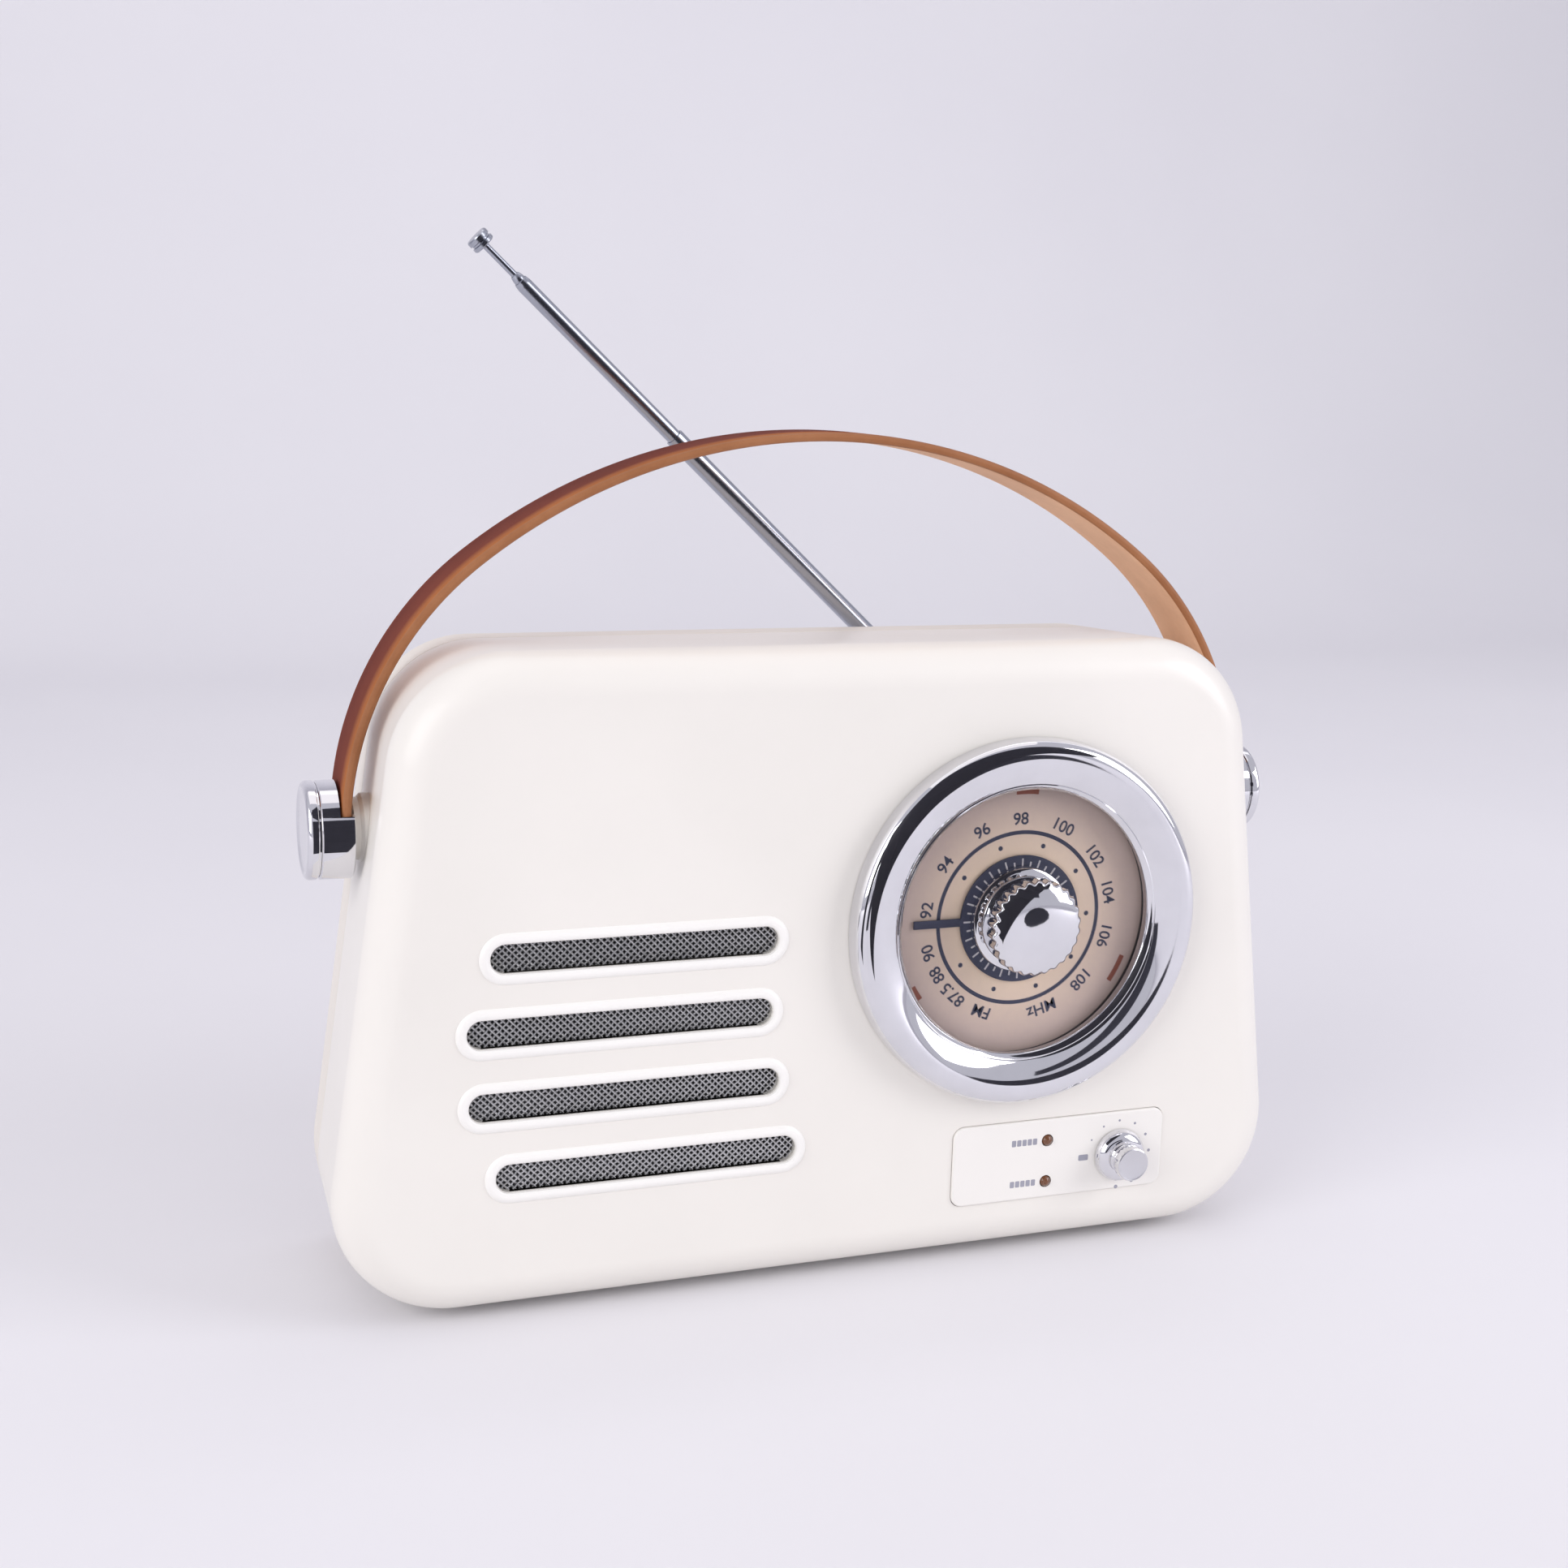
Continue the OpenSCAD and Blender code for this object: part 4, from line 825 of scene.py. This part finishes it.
def strap_path():
    """Middle line of the strap as (x, z, outward normal), in mm from the pivots' line."""
    side_x = STRAP_HALF - SIDE_ARC
    crown_r = (side_x ** 2 + STRAP_RISE ** 2 - SIDE_ARC ** 2) / (2 * (STRAP_RISE - SIDE_ARC))
    crown_z = STRAP_RISE - crown_r
    joint = math.degrees(math.atan2(-crown_z, side_x))
    mid = STRAP_T / 2
    ends = [TONGUE * share for share in (1, 0.67, 0.33)]
    path = [(STRAP_HALF - mid, -end, 0) for end in ends]
    for cx, cz, r, a0, a1, steps in ((side_x, 0, SIDE_ARC, 0, joint, 26),
                                     (0, crown_z, crown_r, joint, 180 - joint, 60),
                                     (-side_x, 0, SIDE_ARC, 180 - joint, 180, 26)):
        for i in range(steps + 1):
            if i == 0 and a0 > 0:
                continue
            a = a0 + (a1 - a0) * i / steps
            path.append((cx + (r - mid) * math.cos(math.radians(a)),
                         cz + (r - mid) * math.sin(math.radians(a)), a))
    path += [(-STRAP_HALF + mid, -end, 180) for end in reversed(ends)]
    return path


def strap():
    """A leather band: rounded edges, a creased line inside each edge and a slightly full middle."""
    low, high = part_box("strap")
    half = (high[1] - low[1]) / MM / 2
    t = STRAP_T / 2
    edge = 0.75
    outer = [(half - 2.2, t - 0.02), (half - 1.75, t - 0.16), (half - 1.4, t - 0.06), (half - edge, t - 0.08),
             (half - 0.25, t - 0.38), (half, t - 0.95)]
    upper = [(0, t), (half * 0.35, t), (half * 0.7, t)] + outer
    right = upper + [(w, -d) for w, d in reversed(upper)]
    section = right + [(-w, d) for w, d in reversed(right[1:-1])]
    verts = []
    for x, z, a in strap_path():
        out = Vector((math.cos(math.radians(a)), 0, math.sin(math.radians(a))))
        mid = Vector((x * MM, pivot_y, pivot_z + z * MM))
        # The ends are pinched a little where they enter the barrels.
        narrow = 0.985 if z < 4 else 1.0
        verts += [mid + out * d * MM + Vector((0, w * narrow * MM, 0)) for w, d in section]
    count = len(section)
    rings = len(strap_path())
    band = piece("leather_strap", verts, rings_to_faces(rings, count), "carry_strap", "leather",
                 "strap_out", "strap_in", "strap_edge")
    edge_from = (half - 0.8) * MM
    pivot_mid = Vector((0, 0, pivot_z))
    for face in band.data.polygons:
        middle = face.center
        width = abs(middle.y - pivot_y)
        outward = (middle - pivot_mid).normalized().dot(face.normal) > 0
        if width > edge_from:
            face.material_index = 2
        elif not outward:
            face.material_index = 1
    hole = lathe("hole_cutter", [(3.3, -140), (3.3, 140)], (0, pivot_y, pivot_z), (1, 0, 0), None,
                 None, steps=48)
    cut(band, [hole])
    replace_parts(band, "strap")


def strap_hardware():
    """Chrome barrels with their strap notch, and the dished end caps."""
    barrel_r, bore_r = 11.8, 3.1
    inner_x, outer_x = 116.15, 123.95
    profile = [(bore_r, inner_x), (barrel_r - 0.3, inner_x), (barrel_r, inner_x + 0.25),
               (barrel_r, outer_x - 0.35), (barrel_r - 0.35, outer_x), (bore_r, outer_x),
               (bore_r, inner_x)]
    for side, name in ((-1, "left"), (1, "right")):
        origin, axis = (0, pivot_y, pivot_z), (side, 0, 0)
        barrel = lathe(f"{name}_barrel", profile, origin, axis, "carry_strap", "chrome", "chrome",
                       steps=160)
        notch = box_cutter(side * 119.6, side * 114, -20, 20, 5.1, 20)
        slot = box_cutter(side * 119.6, side * 116.9, -10.55, 10.55, -4.7, 20)
        cut(barrel, [notch, slot])
        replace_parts(barrel, f"{name}_strap_barrel")
        cap = [(0.4, 124), (11.2, 124), (11.2, 124.35), (11.7, 124.5), (11.8, 124.8), (11.8, 125.9)]
        cap += arc(10.5, 125.9, 1.3, 10, 90, 8)
        cap += [(10.1, 127.15), (9.6, 126.95), (9.0, 126.8), (4.5, 126.72), (0.4, 126.7)]
        lathe(f"{name}_cap", cap, origin, axis, "carry_strap", "chrome", "chrome", steps=160)
    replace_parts(bpy.data.objects["left_cap"], "strap_caps")


def box_cutter(x0, x1, y0, y1, z0, z1):
    """A box from the pivots' line, in mm."""
    x0, x1 = sorted((x0, x1))
    verts = [Vector((x * MM, pivot_y + y * MM, pivot_z + z * MM))
             for x in (x0, x1) for y, z in ((y0, z0), (y1, z0), (y1, z1), (y0, z1))]
    return piece("box_cutter", verts, rings_to_faces(2, 4), None, None)


# ------------------------------------------------------------------ antenna


def antenna():
    """The second and third tubes, with rolled ends, and the rod with its tip button."""
    slide = hinges["tube_2_slide"]["axis"]
    origin = hinges["antenna_swing"]["pos_m"]
    # How far from the pivot each part ends, in mm along the antenna.
    end_1 = 98.3
    end_2 = end_1 + 55.7
    end_3 = end_2 + 2
    end_4 = end_3 + 10

    def tube(r, bore, start, end):
        """Profile of a tube whose far end rolls in to the bore."""
        roll = bore + 0.02
        return [(bore, start + 2), (r, start + 2), (r, end - 1.5), (r - 0.12, end - 0.9),
                (roll + 0.2, end - 0.15), (roll, end), (bore, end - 0.3), (bore, start + 2)]

    parts = (("antenna_tube_2", "tube_2", tube(2.05, 1.62, end_2 - 88, end_2)),
             ("antenna_tube_3", "tube_3", tube(1.55, 0.97, end_3 - 85, end_3)))
    for node, body, profile in parts:
        drawn = lathe(node + "_drawn", profile, origin, slide, body, "chrome", "drawn", steps=48)
        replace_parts(drawn, node)
    rod = [(0.3, end_4 - 80), (0.9, end_4 - 79.6), (0.9, end_4 - 0.3), (1.3, end_4 - 0.1), (2.7, end_4),
           (3.0, end_4 + 0.3), (3.0, end_4 + 1.1), (2.6, end_4 + 1.3), (2.6, end_4 + 1.7),
           (3.0, end_4 + 1.9), (3.0, end_4 + 2.9), (2.7, end_4 + 3.25), (1.2, end_4 + 3.4),
           (0.3, end_4 + 3.4)]
    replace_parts(lathe("antenna_rod_and_tip", rod, origin, slide, "rod", "chrome", "drawn", steps=48),
                "antenna_rod")


# ------------------------------------------------------------------ stage, light and camera


def backdrop():
    """A pale floor that sweeps up behind the object."""
    rise_y = 1.0
    bend = 0.45
    profile = [(-3.2, 0.0), (rise_y, 0.0)]
    profile += [(rise_y + bend * math.sin(math.radians(a)), bend * (1 - math.cos(math.radians(a))))
                for a in range(6, 91, 6)]
    profile.append((rise_y + bend, 3.2))
    verts = []
    for y, z in profile:
        verts += [(-4.0, y, z), (4.0, y, z)]
    faces = [(2 * i, 2 * i + 1, 2 * i + 3, 2 * i + 2) for i in range(len(profile) - 1)]
    mesh = bpy.data.meshes.new("backdrop")
    mesh.from_pydata(verts, [], faces)
    obj = bpy.data.objects.new("backdrop", mesh)
    bpy.context.scene.collection.objects.link(obj)
    for face in mesh.polygons:
        face.use_smooth = True
    m = Nodes("backdrop_paper")
    m.link(m.ramp(m.noise(2.2, 3), [(0.3, (0.80, 0.79, 0.815)), (0.7, (0.83, 0.82, 0.84))]),
           m.bsdf.inputs["Base Color"])
    m.set(Roughness=0.9)
    mesh.materials.append(m.mat)


def area_light(name, place, target, size, power, colour):
    """A rectangular light aimed at a target."""
    light = bpy.data.lights.new(name, "AREA")
    light.shape = "RECTANGLE"
    light.size, light.size_y = size
    light.energy = power
    light.color = colour
    obj = bpy.data.objects.new(name, light)
    bpy.context.scene.collection.objects.link(obj)
    obj.location = place
    obj.rotation_euler = (Vector(target) - Vector(place)).to_track_quat("-Z", "Y").to_euler()


def lights():
    """A pale room, a broad key from the left, a fill from the right, a top light and one for the wall."""
    world = bpy.data.worlds.new("soft_room")
    world.use_nodes = True
    background = world.node_tree.nodes["Background"]
    background.inputs["Color"].default_value = (0.86, 0.85, 0.95, 1)
    background.inputs["Strength"].default_value = 0.68
    bpy.context.scene.world = world
    bpy.context.scene.view_settings.view_transform = "Standard"
    middle = (0, 0, 0.1)
    area_light("key_left", (-1.3, -0.75, 0.7), middle, (1.1, 1.1), 11.5, (1, 0.99, 0.98))
    area_light("fill_right", (1.1, -0.75, 0.6), middle, (0.7, 0.9), 8, (0.98, 0.97, 1))
    area_light("top", (0, 0.1, 1.4), middle, (1.3, 0.9), 2.0, (1, 0.93, 0.86))
    area_light("wall", (0.5, 0.35, 1.3), (0.5, 1.45, 0.5), (1.4, 0.6), 1.8, (1, 0.99, 1))


AZIMUTH, ELEVATION, ROLL = (math.radians(v) for v in (-20.28, 11.45, 1.63))
TO_CAMERA = Vector((math.sin(AZIMUTH) * math.cos(ELEVATION), -math.cos(AZIMUTH) * math.cos(ELEVATION),
                    math.sin(ELEVATION)))
AIM = at(-18.6, 0, 126.6)
CAMERA_DISTANCE = 0.4916
LENS_MM, SENSOR_MM = 47.54, 36
CAMERA_AT = AIM + TO_CAMERA * CAMERA_DISTANCE


def seen_in(place, normal):
    """The direction that the camera sees reflected in chrome at a place with this normal."""
    to_camera = (CAMERA_AT - place).normalized()
    return 2 * normal.dot(to_camera) * normal - to_camera


def tilted(tilt, turn):
    """A normal tilted from straight ahead, toward turn degrees round the dial."""
    t, p = math.radians(tilt), math.radians(turn)
    return Vector((math.sin(t) * math.cos(p), -math.cos(t), math.sin(t) * math.sin(p)))


def dark_sheet(name, rows):
    """A dark studio sheet through rows of points, which shows only in reflections."""
    count = len(rows[0])
    faces = [(i * count + k, i * count + k + 1, (i + 1) * count + k + 1, (i + 1) * count + k)
             for i in range(len(rows) - 1) for k in range(count - 1)]
    mesh = bpy.data.meshes.new(name)
    mesh.from_pydata([point for row in rows for point in row], [], faces)
    obj = bpy.data.objects.new(name, mesh)
    bpy.context.scene.collection.objects.link(obj)
    m = Nodes(name + "_black")
    m.set(Base_Color=(0.05, 0.05, 0.062, 1), Roughness=0.9, Specular_IOR_Level=0.1)
    mesh.materials.append(m.mat)
    obj.visible_camera = False
    obj.visible_diffuse = False
    obj.visible_shadow = False


def dark_round_dial():
    """A curved strip that the bezel mirrors at its upper left, and again inside at its lower right."""
    dial = Vector((dial_x, FACE_Y, dial_z))
    steps = 16
    rows = []
    for i in range(steps + 1):
        share = i / steps
        turn = 95 + 82 * share
        reach = 0.75 - 0.45 * share
        middle = 15 + 12 * share
        half = 2 + 2.2 * share
        rows.append([dial + reach * seen_in(dial, tilted(middle + side * half, turn))
                     for side in (-1, 0, 1)])
    dark_sheet("dark_round_dial", rows)


def dark_ahead_of_knob():
    """A round sheet that the tuning knob's dome mirrors near its middle."""
    crown = Vector((dial_x, FACE_Y - 0.01, dial_z))
    reach = 0.25
    rows = []
    for up in (-0.98, -0.8, -0.4, 0, 0.4, 0.8, 0.98):
        half = math.sqrt(1 - up * up)
        row = []
        for side in (-1, 1):
            right = math.radians(-2 + 4 * half * side)
            rise = math.radians(4.4 + 3.4 * up)
            normal = Vector((math.sin(right), -1, math.sin(rise))).normalized()
            row.append(crown + reach * seen_in(crown, normal))
        rows.append(row)
    dark_sheet("dark_ahead_of_knob", rows)


def dark_by_barrel():
    """A sheet that the left strap barrel mirrors as a band along it."""
    barrel = Vector((-0.12, pivot_y, pivot_z))
    reach, half_width = 0.12, 0.03
    rows = []
    for degrees in range(-14, 25, 4):
        a = math.radians(degrees)
        middle = barrel + reach * seen_in(barrel, Vector((0, -math.cos(a), math.sin(a))))
        rows.append([middle + Vector((side * half_width, 0, 0)) for side in (-1, 1)])
    dark_sheet("dark_by_barrel", rows)


def dark_by_antenna():
    """A sheet that the antenna's tubes mirror as a line along them."""
    along = Vector(hinges["tube_2_slide"]["axis"]).normalized()
    foot = Vector(hinges["antenna_swing"]["pos_m"])
    across = along.cross(Vector((0, 1, 0))).normalized()
    if across.z < 0:
        across = -across
    reach = 0.15
    rows = []
    for degrees in range(-20, 11, 6):
        a = math.radians(degrees)
        normal = math.cos(a) * Vector((0, -1, 0)) + math.sin(a) * across
        places = [foot + along * up for up in (0.02, 0.12, 0.22)]
        rows.append([place + reach * seen_in(place, normal) for place in places])
    dark_sheet("dark_by_antenna", rows)


def camera():
    """Seen from the left and a little above, with a slight roll."""
    back = TO_CAMERA
    right = (-back).cross(Vector((0, 0, 1))).normalized()
    up = right.cross(-back)
    level_x = right * math.cos(ROLL) + up * math.sin(ROLL)
    level_y = up * math.cos(ROLL) - right * math.sin(ROLL)
    data = bpy.data.cameras.new("camera")
    data.sensor_width = SENSOR_MM
    data.lens = LENS_MM
    data.clip_start = 0.01
    obj = bpy.data.objects.new("camera", data)
    bpy.context.scene.collection.objects.link(obj)
    turn = Matrix((level_x, level_y, back)).transposed().to_4x4()
    obj.matrix_world = Matrix.Translation(CAMERA_AT) @ turn
    bpy.context.scene.camera = obj


# ------------------------------------------------------------------ build

for node, obj in frame["nodes"].items():
    slot_name = next(s["material_slot"] for s in frame["record"]["subparts"] if s["node"] == node)
    key = LOOK_OF_NODE.get(node, LOOK_OF_SLOT[slot_name])
    obj.data.materials.clear()
    obj.data.materials.append(look[key])
    shade(obj)

cabinet_front()
slot_rims()
grille_weave()
strap_seats()
soft_panel()
panel_print()
dial_bezel()
dial_print()
pointer_ticks()
tuning_knob()
volume_knob()
strap()
strap_hardware()
antenna()
backdrop()
lights()
dark_round_dial()
dark_ahead_of_knob()
dark_by_barrel()
dark_by_antenna()
camera()
